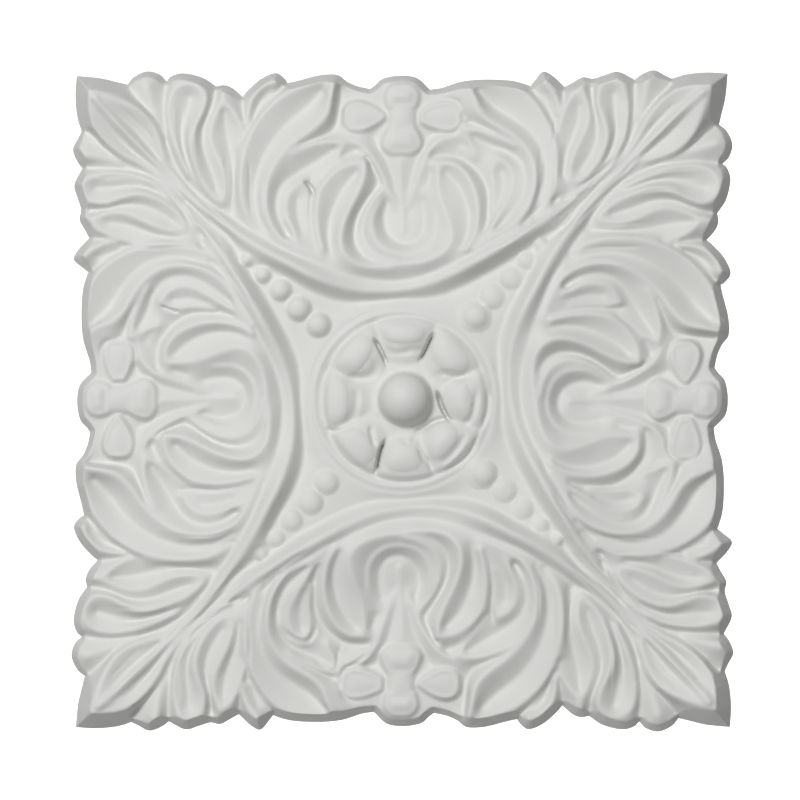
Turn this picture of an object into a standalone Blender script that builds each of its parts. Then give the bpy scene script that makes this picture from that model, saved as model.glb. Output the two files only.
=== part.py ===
"""Square rosette applique, cast in one piece: leaf spray at each corner, scrolled
spray with a small flower at each side, eight-petalled rosette with a boss in the
middle. It stands as it hangs: the flat back lies in the XZ plane at Y = 0, the
carved face looks along -Y, and the origin is the middle of the back.
"""

import bmesh
import bpy
import numpy as np

# Driving dimensions, metres
WIDTH = 0.2240            # across the leaf tips
RIB_HEIGHT = 0.0167       # back to the crest of the tallest rib
EDGE_HEIGHT = 0.0012      # upright rim where the piece meets the wall
DRAFT_SLOPE = 2.5         # rise of the outer wall for each unit inwards
BOSS_RADIUS = 0.0087
BOSS_HEIGHT = 0.0215      # back to the top of the boss
PETAL_COUNT = 8
FLOWER_RADIUS = 0.0276    # petal tips of the middle flower
RING_RADIUS = 0.0296      # thin ring round the middle flower
OUTER_RING_RADIUS = 0.0322
SOLID_TRIANGLES = 8300    # facets of the carved face

# The carving is drawn in units of a millimetre on a piece of the sizes above
DRAWN_WIDTH = 224.0
DRAWN_RIB_HEIGHT = 16.7
PLAN = WIDTH / DRAWN_WIDTH
RISE = RIB_HEIGHT / DRAWN_RIB_HEIGHT
HALF_SPAN = 116.0
STEP = 0.5
CARVING_DEPTH = 1.45      # how much deeper the carving goes than its stations, about their mean level
MEAN_OVER = 7.0

# The middle flower sits a little off the centre of its ring. Its petals, from the right
# hand one round by the top, are uneven: how high each rises and how far it leans.
FLOWER_CENTRE = (1.3, 0.1)
PETAL_RISES = (3.0, 2.8, 3.0, 2.8, 2.6, 2.7, 2.8, 3.1)
PETAL_LEANS = (-0.1, 0.08, 0.0, 0.12, -0.12, 0.08, -0.06, 0.1)

# Beads down each diagonal: x, y, radius; and how proud they stand on each, worn as they are
BEADS = ((-28.0, 25.2, 4.1), (-34.7, 30.8, 4.2), (-40.8, 37.1, 3.7), (-46.9, 42.3, 2.9), (-52.2, 47.4, 2.4))
BEAD_RISES = (0.80, 0.46, 0.42, 0.52)

# Petals of the flower at a side: direction in degrees, root, reach, half widths there,
# height of the border, rise of the middle, how square the end is
SIDE_FLOWER = (0.2, 96.0)
SIDE_PETALS = (
    (90, 2.4, 11.6, 5.2, 6.5, 8.9, 1.0, 0.3),
    (180, 5.0, 20.4, 0.9, 5.8, 8.7, 0.1, 0.6),
    (0, 5.6, 20.6, 2.4, 5.7, 8.7, 0.1, 0.6),
    (270, 2.6, 13.4, 4.4, 7.4, 8.8, 0.9, 0.5),
)

# Rounded crests: half width, then (x, y, z) stations.
CRESTS = (
    # arc between the centre panel and the side spray, strand to strand
    (1.3, ((-80, 77.3, 8.8), (-74.5, 71.8, 9.0), (-68, 65.8, 9.9), (-61, 60.2, 11.4), (-53.5, 54.6, 12.9),
           (-45, 49.4, 14.6), (-37, 45.3, 15.3), (-29, 41.3, 15.0), (-20.4, 38.4, 13.3), (-12, 36.9, 11.9),
           (-2, 36.9, 11.4), (8, 38.8, 11.9), (17, 42.3, 13.2), (25, 46.3, 14.8), (33, 50.7, 15.3),
           (41, 55.4, 14.6), (49, 60.6, 12.9), (57, 66.2, 10.8), (64.5, 73, 9.4), (71, 80.5, 8.8))),
    # left scroll, outermost lobe
    (1.2, ((-49.0, 57.3, 11.2), (-52.8, 64, 11.5), (-54.2, 72, 11.4), (-53.8, 80, 10.9), (-51.2, 89, 10.0),
           (-46.5, 97, 9.0), (-38.5, 103.8, 8.7), (-28, 108.0, 9.0), (-21.3, 109.0, 9.6))),
    (1.2, ((-22.6, 108.6, 9.6), (-23.7, 103, 10.1), (-25.4, 96.5, 10.0), (-30, 91.6, 9.8), (-36.5, 86.8, 9.9),
           (-41.6, 81, 10.7), (-45.2, 74, 11.8), (-46.1, 66.5, 12.5), (-44.4, 59.5, 13.0), (-40.3, 54.2, 13.3),
           (-34, 50.6, 13.4), (-27, 47.8, 13.3))),
    # left scroll, second lobe
    (1.0, ((-19.2, 86.9, 8.6), (-25, 87.3, 8.9), (-31, 86.0, 9.3), (-37.5, 83.2, 10.0))),
    (0.8, ((-19.2, 86.9, 8.6), (-21.8, 82.2, 8.4), (-25.2, 78, 8.5), (-28.7, 73.4, 8.9))),
    # left scroll, small inner lobe
    (1.0, ((-34.8, 52.2, 13.2), (-36.6, 57, 12.8), (-38.6, 62, 12.0), (-38.9, 67, 11.2), (-36.6, 71.2, 10.4),
           (-32.8, 73.6, 9.8))),
    (0.8, ((-32.8, 73.6, 9.8), (-31.6, 69.5, 9.8), (-31.9, 63, 10.8), (-31.2, 57, 12.0))),
    # left scroll, lobe beside the cup
    (1.0, ((-12.2, 80.2, 9.6), (-17.5, 79.4, 9.5), (-23, 76.2, 9.9), (-27.2, 70.8, 10.7), (-28.6, 64, 11.6),
           (-28.2, 57, 12.6), (-26.6, 50.8, 13.6))),
    (0.9, ((-12.2, 80.2, 9.6), (-12.7, 75.5, 10.2), (-14.6, 70, 10.8), (-17.2, 64.8, 11.6), (-19.4, 59.4, 12.8),
           (-20.4, 54, 13.8), (-19.4, 49.4, 14.2), (-16.0, 46.0, 13.8), (-11, 44.6, 13.2), (-5, 44.4, 12.9))),
    # right scroll, outermost lobe
    (1.2, ((46.2, 60.5, 12.2), (50, 67.5, 11.6), (52.1, 75.5, 11.1), (52.2, 84, 10.5), (49.6, 93, 9.4),
           (44.8, 100.7, 8.7), (38, 105.8, 8.5), (30, 108.0, 8.6), (21.2, 107.2, 9.2))),
    (1.2, ((21.2, 107.2, 9.2), (24.4, 103, 9.9), (26.2, 98, 10.1), (30, 93.9, 10.1), (36, 90.5, 10.2),
           (41, 86.3, 10.5), (44.4, 80.8, 11.2), (45.4, 74.5, 12.2), (44.3, 68, 12.9), (41.5, 62.3, 13.5),
           (37, 57.8, 13.9), (31, 54.7, 14.0), (25, 50.6, 14.0))),
    # right scroll, second lobe
    (1.0, ((20.8, 91.7, 8.7), (26.5, 91.0, 8.9), (32, 89.0, 9.3), (38, 86.0, 10.1))),
    (0.8, ((20.8, 91.7, 8.7), (23.4, 87, 8.4), (25, 82.5, 8.6))),
    # right scroll, small inner lobe
    (1.0, ((28.6, 54.6, 13.8), (31.5, 59, 13.3), (34.4, 64, 12.5), (37.3, 69, 11.5), (38.3, 74, 10.7),
           (36.6, 78.8, 10.2), (33.2, 81.4, 9.9))),
    (0.8, ((33.2, 81.4, 9.9), (31, 77.5, 9.5), (31.2, 71, 10.2), (30.6, 63, 11.6))),
    # right scroll, lobe beside the cup
    (0.9, ((12.8, 79.8, 9.0), (17.5, 79.6, 9.5), (21.8, 76.4, 10.2), (24.7, 71, 11.1), (26.0, 65, 12.1),
           (25.8, 59.4, 13.1), (24.3, 54, 13.9), (22.2, 50.4, 14.2))),
    (1.1, ((12.8, 79.8, 9.0), (12.6, 75, 9.2), (13.2, 69.4, 9.9), (15.0, 64, 11.1), (16.8, 58.6, 12.6),
           (17.4, 53.6, 13.6), (15.0, 49.8, 13.9), (10.4, 47.2, 13.5), (5, 45.8, 13.1), (0, 45.4, 12.9),
           (-5, 44.4, 12.9))),
    # horseshoe in the cup
    (0.9, ((-6.2, 71.6, 7.7), (-9.6, 67.4, 8.6), (-12.4, 62, 9.8), (-13.1, 56, 10.8), (-10.8, 50.8, 11.8),
           (-6.4, 47.8, 12.5), (-1, 46.6, 12.8))),
    (0.7, ((-7.4, 67.0, 8.0), (-9.6, 62.4, 9.3), (-9.8, 57.4, 10.1), (-7.8, 52.8, 10.8), (-3.8, 50.0, 11.4),
           (1.2, 49.2, 11.5), (6.2, 50.4, 11.5), (9.8, 53.4, 11.2), (11.6, 58, 10.5), (11.4, 63.4, 9.6))),
    # three stems
    (1.4, ((0.6, 56.8, 8.7), (0.4, 59.6, 8.1), (0.4, 62.6, 7.5), (0.3, 66, 7.2))),
    (1.1, ((0.3, 66, 7.2), (0, 71, 7.3), (-0.2, 78, 7.5), (-0.2, 84, 7.8))),
    (0.9, ((-1.2, 63.5, 7.0), (-3.6, 69, 7.5), (-6.4, 75.5, 8.0), (-9.4, 81, 8.3), (-13, 85.6, 8.3),
           (-19, 88.6, 8.0))),
    (0.9, ((1.2, 63.5, 7.0), (4.2, 70, 7.5), (6.6, 77, 8.0), (8.8, 83, 8.3), (12.5, 87.3, 8.3),
           (20.6, 91.2, 8.3))),
    # corner leaf, middle lobe and its midrib
    (1.3, ((-105.2, 103.8, 13.4), (-100, 102.2, 13.2), (-94, 100.2, 12.2), (-88.8, 97.6, 11.2),
           (-85, 93.8, 10.1), (-82.4, 88.4, 9.4), (-80.8, 82, 8.8))),
    (1.3, ((-105.4, 103.4, 13.4), (-105.0, 97, 12.6), (-103.2, 91.6, 11.6), (-99.4, 87, 10.6),
           (-94, 83, 9.7), (-87.6, 79.6, 9.0), (-81, 74.6, 8.8), (-75.6, 68.2, 9.0))),
    (1.2, ((-103.4, 101.8, 14.2), (-98.2, 95.8, 12.6), (-92, 89, 10.9), (-86, 83, 9.7), (-80, 77.3, 8.9))),
    # corner leaf, lobes along the top edge
    (1.7, ((-86.6, 106.2, 8.8), (-85.2, 101, 8.5), (-82.8, 95, 8.2), (-81.2, 90, 8.0))),
    (1.1, ((-72.4, 76.4, 9.2), (-73.6, 79.4, 9.4), (-75.6, 84, 9.5), (-77.8, 90, 9.3), (-78.9, 96.5, 8.8),
           (-78.3, 102.5, 8.6), (-75.6, 106.3, 8.6), (-72, 107.3, 8.7), (-68.4, 105.6, 9.0),
           (-66.4, 102, 9.4), (-67.6, 97, 9.8), (-70.4, 91.6, 10.5), (-71.1, 86, 10.8), (-69.9, 80, 10.5),
           (-67.8, 74.8, 10.1), (-64.8, 70.2, 10.0), (-61.3, 67.0, 10.0), (-59.2, 70, 10.1),
           (-59.5, 75.5, 10.2), (-61.6, 80.8, 9.9), (-64, 86, 9.5), (-64.5, 91.4, 9.1), (-62.8, 97, 8.8),
           (-60.4, 101.6, 8.8))),
    (1.0, ((-59.9, 105.2, 8.4), (-60.3, 101.6, 8.8), (-57.0, 97.6, 8.7), (-54.6, 93.6, 8.7), (-53.4, 88.8, 8.8))),
    (1.0, ((-43.0, 107.6, 8.5), (-47, 106.3, 8.4), (-50.2, 102.8, 8.4), (-51.8, 98.4, 8.4), (-52.2, 93.5, 8.6))),
    # corner leaf, lobes along the other edge, as they fall at the right end of a side
    (1.7, ((83.3, 107.2, 9.2), (82.6, 102, 8.7), (80.8, 96, 8.2))),
    (1.1, ((66, 76, 9.2), (70.5, 80.4, 9.4), (73.6, 85, 9.5), (75.4, 90, 9.4), (76.3, 96, 9.2),
           (76.1, 102, 9.0), (74.4, 107.3, 9.2), (70.6, 108.0, 9.0), (67.5, 105.6, 9.0), (66.6, 100, 9.5),
           (68.4, 95, 10.0), (69.7, 89.6, 10.4), (68.6, 84, 10.4), (66.2, 79.6, 10.2), (63.2, 76, 10.1),
           (60, 73.9, 10.1), (57.5, 73.9, 10.2), (57.1, 78, 10.3), (58.6, 83, 10.3), (60.9, 88, 10.0),
           (63.1, 93, 9.6), (63.4, 98.4, 9.1), (61.2, 104.8, 8.9))),
    (1.0, ((61.2, 104.8, 8.9), (57.8, 102.6, 8.9), (55.6, 98, 8.9), (53.8, 93, 9.0), (52.9, 88, 9.2))),
    (1.0, ((48.6, 107.6, 9.0), (51.2, 104.4, 8.7), (53.2, 100.6, 8.6), (53.6, 96.5, 8.7))),
)

# Gouged grooves, creases and floors: half width, then (x, y, z) stations.
GROOVES = (
    # foot of the step down from the arc to the centre panel
    (1.2, ((-47, 44.6, 10.8), (-38.8, 40.6, 10.5), (-31, 36.1, 9.9), (-21.9, 33.0, 9.1), (-12.6, 32.6, 8.8),
           (-2, 33.5, 9.0), (9.4, 34.0, 8.9), (19.2, 37.0, 9.0), (27.3, 41.0, 9.5), (35.3, 45.5, 10.1),
           (43.3, 50.6, 10.3), (51.2, 56.2, 9.7), (59, 62.4, 8.9), (66.2, 70.2, 8.2))),
    # outside the arc
    (0.5, ((-57.2, 61.6, 9.0), (-50.5, 57.0, 10.9), (-45, 53.7, 11.9), (-39.5, 50.4, 12.6), (-30, 46.4, 12.9),
           (-20, 42.8, 12.3), (-10, 40.6, 10.9), (0, 40.2, 10.5), (10, 42.6, 11.2), (20, 47.2, 12.7),
           (30, 52.9, 13.5), (39, 58.5, 12.6), (46, 63.8, 10.8), (52.4, 67.6, 9.2))),
    # floors of the left scroll
    (1.2, ((-27.5, 104.2, 7.0), (-32.5, 99.3, 6.0), (-38.4, 94.6, 6.6), (-43.8, 88.2, 8.0), (-47.8, 80.4, 9.1),
           (-49.8, 71.5, 9.9), (-48.9, 63, 10.8), (-45.6, 57.0, 11.6))),
    (0.4, ((-21.2, 106.4, 5.4), (-21.7, 100.5, 5.2), (-22.0, 95.4, 5.4), (-23.4, 91.4, 6.0), (-28, 88.8, 7.4),
           (-34, 86.6, 8.6))),
    (1.0, ((-22.8, 84.8, 7.4), (-28, 81.4, 6.9), (-34.2, 77.6, 7.4), (-40, 73, 8.9), (-42.2, 67, 10.1),
           (-41.2, 61, 11.1), (-38.3, 55.8, 10.8))),
    (0.6, ((-35.2, 68.0, 9.5), (-35.2, 62.5, 10.4), (-33.4, 56.0, 11.8))),
    (0.3, ((-31.0, 74.6, 7.9), (-30.8, 69.5, 8.2), (-30.6, 63.0, 10.0), (-29.6, 56, 11.7), (-28.3, 51.4, 12.6))),
    (0.9, ((-15.4, 76.6, 8.2), (-19.4, 72.2, 8.4), (-22.4, 66.5, 9.0), (-24.3, 60.5, 9.8), (-24.6, 54.4, 11.1),
           (-23.6, 49.8, 12.4))),
    # floors of the right scroll
    (1.2, ((26.4, 104.6, 7.2), (31.5, 99.8, 6.2), (38, 95.6, 6.8), (43.6, 91, 8.0), (47.3, 85, 9.1),
           (48.7, 78, 10.0), (47.6, 71, 10.7), (45.0, 65, 11.5), (41.4, 60.0, 12.3))),
    (0.3, ((22.6, 94.2, 6.8), (27, 92.8, 7.8), (33.4, 90.8, 9.0))),
    (1.0, ((24.8, 88.8, 7.5), (30, 86.2, 7.3), (35.6, 84.3, 7.9), (40, 80.6, 8.9), (41.7, 75.4, 10.1),
           (40.8, 70, 11.0), (38.2, 65, 11.8), (34.8, 60.6, 12.2), (32.4, 57.6, 12.4))),
    (0.6, ((33.8, 77.4, 8.7), (34.3, 72, 9.5), (32.6, 65, 11.0))),
    (0.5, ((10.5, 82.8, 6.9), (15, 82.8, 6.7), (20, 81.8, 6.7), (25, 78, 7.2), (28.6, 73, 8.0), (29.8, 68, 9.0),
           (29.6, 62, 10.4), (28.2, 56.6, 12.2))),
    (0.9, ((15.2, 76.8, 8.0), (18.4, 73.6, 8.3), (21.2, 68.6, 9.1), (22.6, 63, 10.1), (22.5, 57.6, 11.4),
           (20.6, 52.2, 12.9))),
    # round the horseshoe and round the tongue in it
    (0.6, ((-7.2, 75.0, 6.0), (-8.6, 71.6, 6.3), (-11.4, 67.6, 7.0), (-14.4, 62.4, 7.9), (-15.8, 57.2, 9.0),
           (-15.4, 52.4, 10.2), (-13.0, 48.8, 11.2), (-9.4, 46.6, 12.0))),
    (1.0, ((-4.0, 67.6, 6.2), (-5.5, 64.2, 6.2), (-5.7, 60.6, 6.4), (-4.7, 57.0, 7.1), (-2.4, 54.4, 8.0),
           (1.0, 53.2, 8.4), (4.6, 54.2, 8.6), (7.0, 57.6, 8.0), (7.4, 62, 7.3), (6.6, 67, 6.8))),
    # between the stems
    (0.4, ((-2.2, 71, 6.8), (-3.6, 77, 6.6), (-6.2, 83, 6.4), (-9.6, 89.6, 5.6))),
    (0.4, ((2.2, 71, 6.8), (3.8, 77, 6.7), (5.6, 83, 6.6), (8.6, 88.8, 6.0), (11.5, 90.3, 5.9))),
    (0.6, ((-7.2, 75.0, 6.0), (-9.2, 78.4, 6.3), (-11.4, 82.0, 6.6))),
    (0.8, ((8.6, 73.4, 7.2), (9.8, 77.0, 7.4))),
    (1.0, ((-15.4, 84.6, 6.8), (-19.6, 83.0, 7.6))),
    (1.0, ((19.8, 86.4, 7.2), (23.0, 84.8, 7.6))),
    # corner leaf, middle lobe
    (0.8, ((-98.6, 98.8, 12.3), (-95, 95.9, 10.7), (-90, 91, 8.8), (-86, 86, 8.1), (-82.9, 81.6, 7.6))),
    (0.8, ((-101.6, 96.4, 12.0), (-98.8, 92.4, 10.5), (-94, 87.4, 8.7), (-89.4, 82.8, 8.1), (-84, 78.2, 7.7),
           (-78, 71.8, 7.6), (-73, 66.8, 7.9), (-67.6, 61.6, 8.6), (-62, 56.2, 9.8), (-57.4, 51.7, 11.0))),
    (0.4, ((-92.8, 106.6, 5.4), (-90.6, 103.2, 6.9), (-87.6, 99.9, 7.4), (-84.4, 96.2, 7.4), (-81.4, 91, 7.2),
           (-79.9, 86, 7.2))),
    (0.4, ((-80.3, 107.4, 5.4), (-80.4, 101, 6.9), (-80.2, 95, 7.1), (-79.7, 88, 7.1), (-77.9, 82.5, 7.2),
           (-75.2, 77.6, 7.4), (-71.8, 73.0, 7.7), (-67, 68.6, 8.2), (-62.6, 65.0, 8.4), (-58.0, 62.2, 8.5))),
    (1.0, ((-71.9, 103.0, 6.8), (-73.4, 97, 7.1), (-74.5, 91, 7.7), (-73.9, 85.6, 8.2), (-72.2, 80, 8.5),
           (-69.8, 75, 8.8))),
    (0.4, ((-63.3, 105.8, 5.2), (-64.3, 101, 6.8), (-66.6, 95.6, 7.4), (-67.7, 90, 7.9), (-67.2, 85, 8.2),
           (-65.4, 79.8, 8.3), (-63.6, 75, 8.4), (-62.8, 71, 8.7))),
    (0.9, ((-60.0, 97.4, 7.5), (-59.6, 92, 7.1), (-58.4, 86, 7.4), (-57.0, 80, 8.2), (-56.8, 74, 8.8),
           (-57.2, 68, 8.7), (-57.3, 63.8, 8.5))),
    (0.4, ((-54.3, 102.6, 5.2), (-53.7, 98, 6.8), (-53.0, 92.5, 7.5))),
    (0.8, ((-44.6, 104.8, 6.9), (-47.9, 101, 6.3), (-50.0, 96, 6.9))),
    (0.4, ((-40.0, 106.8, 5.4), (-44, 102.6, 6.8), (-48.6, 97.4, 7.2), (-51.6, 91.6, 7.8))),
    # corner leaf, other edge
    (0.4, ((91.6, 107.4, 5.4), (88.6, 102.8, 7.0), (84.8, 99.6, 7.4), (81.0, 94.6, 7.4), (78.2, 88.6, 7.3),
           (74.6, 82.6, 7.4), (70, 77.2, 7.7), (66.0, 72.6, 8.3), (60.0, 69.4, 8.7), (55.0, 67.4, 8.8))),
    (0.4, ((79.2, 107.6, 5.4), (78.8, 101, 7.0), (78.2, 94, 7.3), (77.2, 88, 7.3))),
    (1.0, ((72.0, 103.6, 7.4), (72.2, 97, 7.7), (73.0, 91, 8.0), (71.8, 85.6, 8.3), (69, 81, 8.6))),
    (0.4, ((64.5, 106.0, 5.6), (65.0, 100.4, 7.0), (66.2, 94.4, 7.9), (66.2, 88.8, 8.4), (64.6, 84, 8.6),
           (62.2, 80, 8.8), (60.2, 77.4, 9.0))),
    (0.9, ((60.2, 99.6, 7.8), (59.6, 94, 7.7), (57.8, 88.4, 8.0), (55.8, 83, 8.7), (54.8, 76, 9.5))),
    (0.4, ((54.9, 105.6, 5.4), (54.6, 101.6, 6.8), (53.0, 95.6, 7.6), (51.6, 91.6, 8.0))),
    (0.8, ((48.3, 103.2, 6.8), (49.6, 99.2, 6.9), (50.9, 95, 7.5))),
    (0.4, ((43.6, 106.0, 5.4), (46.4, 102.0, 6.8), (49.2, 97.4, 7.3))),
)

# Foot of the side at the back, from the corner leaf's tip round one side.
FOOT = (
    (-111.0, 110.8), (-103, 110.0), (-97, 108.6), (-93.6, 107.8), None,
    (-91.5, 110.3), (-87.0, 112.3), (-82.6, 111.2), (-80.3, 108.9), None,
    (-78.6, 110.6), (-74.5, 111.6), (-68, 110.1), (-63.4, 107.1), None,
    (-60.5, 107.5), (-57.5, 106.3), (-54.3, 103.5), None,
    (-52.6, 105.6), (-48, 109.6), (-43, 111.6), (-39.9, 109.6), (-39.1, 108.2), None,
    (-35.7, 108.9), (-28, 110.8), (-22, 110.9), (-18.7, 108.6), (-15, 107.0), (-10.9, 106.1), None,
    (-9.2, 107.3), (-6.4, 109.6), (-0.5, 110.6), (5.2, 109.7), (9.5, 105.8), None,
    (13.6, 106.4), (20.4, 108.5), (28, 109.2), (37, 108.8), (42.5, 107.4), (43.6, 106.8), None,
    (45.2, 108.8), (48, 111.8), (51.4, 110.3), (55.3, 106.6), None,
    (57.8, 107.9), (61.6, 109.9), (65.0, 109.4), (69, 110.6), (73.6, 111.7), (79.2, 109.0), None,
    (81.6, 110.8), (85.7, 112.2), (89.5, 110.4), (91.8, 109.3), None,
    (97, 110.8), (104, 111.4), (110.8, 111.0),
)


def smooth_line(stations, spacing=0.25):
    """Points of a smooth line through the stations."""
    p = np.array(stations, dtype=float)
    ends = np.vstack((2 * p[0] - p[1], p, 2 * p[-1] - p[-2]))
    points = []
    for i in range(len(p) - 1):
        a, b, c, d = ends[i:i + 4]
        count = max(2, int(np.linalg.norm((c - b)[:2]) / spacing))
        t = np.linspace(0, 1, count, endpoint=False)[:, None]
        bend = (2 * a - 5 * b + 4 * c - d) * t * t + (3 * b - a - 3 * c + d) * t ** 3
        points.append(b + 0.5 * ((c - a) * t + bend))
    points.append(p[-1:])
    return np.vstack(points)


def stamp(line, width, crown, grid, known, height, highest):
    """Fix the heights of a band along a line, its section bent by the crown."""
    reach = max(width, 0.75 * (grid[1] - grid[0]))
    points = smooth_line(line)
    low = points.min(axis=0) - reach
    high = points.max(axis=0) + reach
    i0, i1 = np.searchsorted(grid, (low[0], high[0]))
    j0, j1 = np.searchsorted(grid, (low[1], high[1]))
    gx, gy = np.meshgrid(grid[i0:i1], grid[j0:j1])
    best = np.full(gx.shape, 1e9)
    z = np.zeros(gx.shape)
    for x, y, h in points:
        d = (gx - x) ** 2 + (gy - y) ** 2
        nearer = d < best
        best[nearer] = d[nearer]
        z[nearer] = h
    inside = best <= reach ** 2
    z = z - crown * best / reach ** 2
    old = height[j0:j1, i0:i1]
    seen = known[j0:j1, i0:i1]
    wins = z > old if highest else z < old
    take = inside & (~seen | wins)
    old[take] = z[take]
    seen |= inside


def four_turns(known, height, pick):
    """Merge the four quarter turns of a map."""
    all_known = known.copy()
    all_height = height.copy()
    for turn in (1, 2, 3):
        k = np.rot90(known, turn)
        h = np.rot90(height, turn)
        merged = np.where(k, h, all_height)
        all_height = np.where(all_known & k, pick(all_height, h), merged)
        all_known |= k
    return all_known, all_height


def stretch_skin(known, height):
    """Stretch a skin over the fixed heights, from a coarse map to the fine one."""
    n = height.shape[0]
    z = None
    for factor, rounds in ((8, 300), (4, 160), (2, 90), (1, 60)):
        m = (n - 1) // factor + 1
        size = m * factor
        shift = factor // 2
        hits = np.zeros((size, size))
        sums = np.zeros((size, size))
        part = size - shift
        hits[shift:shift + n, shift:shift + n] = known[:part, :part]
        sums[shift:shift + n, shift:shift + n] = np.where(known, height, 0)[:part, :part]
        hits = hits.reshape(m, factor, m, factor).sum(axis=(1, 3))
        sums = sums.reshape(m, factor, m, factor).sum(axis=(1, 3))
        fixed = hits > 0
        level = sums / np.maximum(hits, 1)
        if z is None:
            z = np.full((m, m), 8.0)
        else:
            s = np.linspace(0, z.shape[0] - 1, m)
            k = np.minimum(s.astype(int), z.shape[0] - 2)
            f = s - k
            rows = z[k] * (1 - f)[:, None] + z[k + 1] * f[:, None]
            z = rows[:, k] * (1 - f) + rows[:, k + 1] * f
        z = np.where(fixed, level, z)
        for _ in range(rounds):
            p = np.pad(z, 1, mode="edge")
            mean = (p[:-2, 1:-1] + p[2:, 1:-1] + p[1:-1, :-2] + p[1:-1, 2:]) / 4
            z = np.where(fixed, level, mean)
    return z


def soften(z, sigma):
    """Round the carving over, as a cast from a worn mould is."""
    reach = int(np.ceil(3 * sigma))
    w = np.exp(-0.5 * (np.arange(-reach, reach + 1) / sigma) ** 2)
    w /= w.sum()
    n = z.shape[0]
    p = np.pad(z, reach, mode="edge")
    rows = sum(w[i] * p[i:i + n, :] for i in range(2 * reach + 1))
    return sum(w[i] * rows[:, i:i + n] for i in range(2 * reach + 1))


def side_foot():
    """Foot line of one side, left corner to right corner."""
    runs = [[]]
    for station in FOOT:
        if station is None:
            runs.append([runs[-1][-1]])
        else:
            runs[-1].append(station)
    lines = [smooth_line([(x, y, 0) for x, y in run], 0.4)[:-1, :2] for run in runs]
    return np.vstack(lines + [np.array([FOOT[-1]])])


def quarter_turn(points, turn):
    """Points turned clockwise by quarters."""
    c, s = ((1, 0), (0, -1), (-1, 0), (0, 1))[turn % 4]
    return points @ np.array(((c, s), (-s, c)))


def depth_inside(grid, loop, reach=8.0):
    """Distance from the foot line, positive inside it, up to the reach."""
    gx, gy = np.meshgrid(grid, grid)
    inside = np.zeros(gx.shape, dtype=bool)
    best = np.full(gx.shape, reach * reach)
    for (x0, y0), (x1, y1) in zip(loop, np.roll(loop, -1, axis=0)):
        if y0 != y1:
            j0, j1 = np.searchsorted(grid, (min(y0, y1), max(y0, y1)))
            y = gy[j0:j1]
            inside[j0:j1] ^= gx[j0:j1] < x0 + (y - y0) * (x1 - x0) / (y1 - y0)
        ex, ey = x1 - x0, y1 - y0
        length = ex * ex + ey * ey
        if length < 1e-9:
            continue
        i0, i1 = np.searchsorted(grid, (min(x0, x1) - reach, max(x0, x1) + reach))
        j0, j1 = np.searchsorted(grid, (min(y0, y1) - reach, max(y0, y1) + reach))
        sx, sy = gx[j0:j1, i0:i1], gy[j0:j1, i0:i1]
        t = np.clip(((sx - x0) * ex + (sy - y0) * ey) / length, 0, 1)
        d = (sx - x0 - t * ex) ** 2 + (sy - y0 - t * ey) ** 2
        best[j0:j1, i0:i1] = np.minimum(best[j0:j1, i0:i1], d)
    return np.where(inside, 1, -1) * np.sqrt(best)


def middle_flower(gx, gy):
    """Boss, petals and rings of the middle."""
    boss = BOSS_RADIUS / PLAN
    boss_top = BOSS_HEIGHT / RISE
    tip = FLOWER_RADIUS / PLAN
    root = boss + 2.2
    crest = root + 0.5 * (tip - root)
    around = np.hypot(gx, gy)
    fx = gx - FLOWER_CENTRE[0]
    fy = gy - FLOWER_CENTRE[1]
    r = np.hypot(fx, fy)
    half = np.pi / PETAL_COUNT
    turn = np.arctan2(fy, fx) + half
    across = (turn % (2 * half) - half) / half
    index = np.floor(turn / (2 * half)).astype(int) % PETAL_COUNT
    rise = np.resize(PETAL_RISES, PETAL_COUNT)[index]
    lean = np.resize(PETAL_LEANS, PETAL_COUNT)[index]
    side = np.abs(across + lean * (1 - across ** 2))
    start = root + 0.8 + 2.2 * side ** 2
    inner = np.clip((r - start) / (crest - root), 0, 1)
    outer = np.clip((r - crest) / (tip - crest), 0, 1)
    length = np.sin(np.pi / 2 * inner) * (1 - 0.45 * outer ** 2.2)
    puff = 1 - side ** (3.4 + 2.6 * outer)
    body = 9.9 + rise * length * (0.2 + 0.8 * puff)
    body = body - 1.8 * np.clip((r - tip + 1.4) / 1.4, 0, 1) ** 2
    body = np.maximum(body, 9.3 - 0.6 * np.exp(-((r - tip - 0.7) / 0.8) ** 2))
    ring = 9.5 + 1.1 * np.exp(-((around - RING_RADIUS / PLAN) / 0.9) ** 2)
    ring = ring + 0.5 * np.exp(-((around - OUTER_RING_RADIUS / PLAN) / 0.7) ** 2)
    z = np.where(r < tip + 0.9, np.maximum(body, np.where(around > tip + 0.5, ring, 0)), ring)
    z = np.where(r < root, 9.9 + 0.3 * np.abs(across) ** 2, z)
    dome = 12.4 + (boss_top - 12.4) * np.sqrt(np.clip(1 - (r / boss) ** 2, 0, 1))
    z = np.where(r < boss, np.maximum(dome, z), z)
    return around < OUTER_RING_RADIUS / PLAN + 0.6, z


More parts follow.
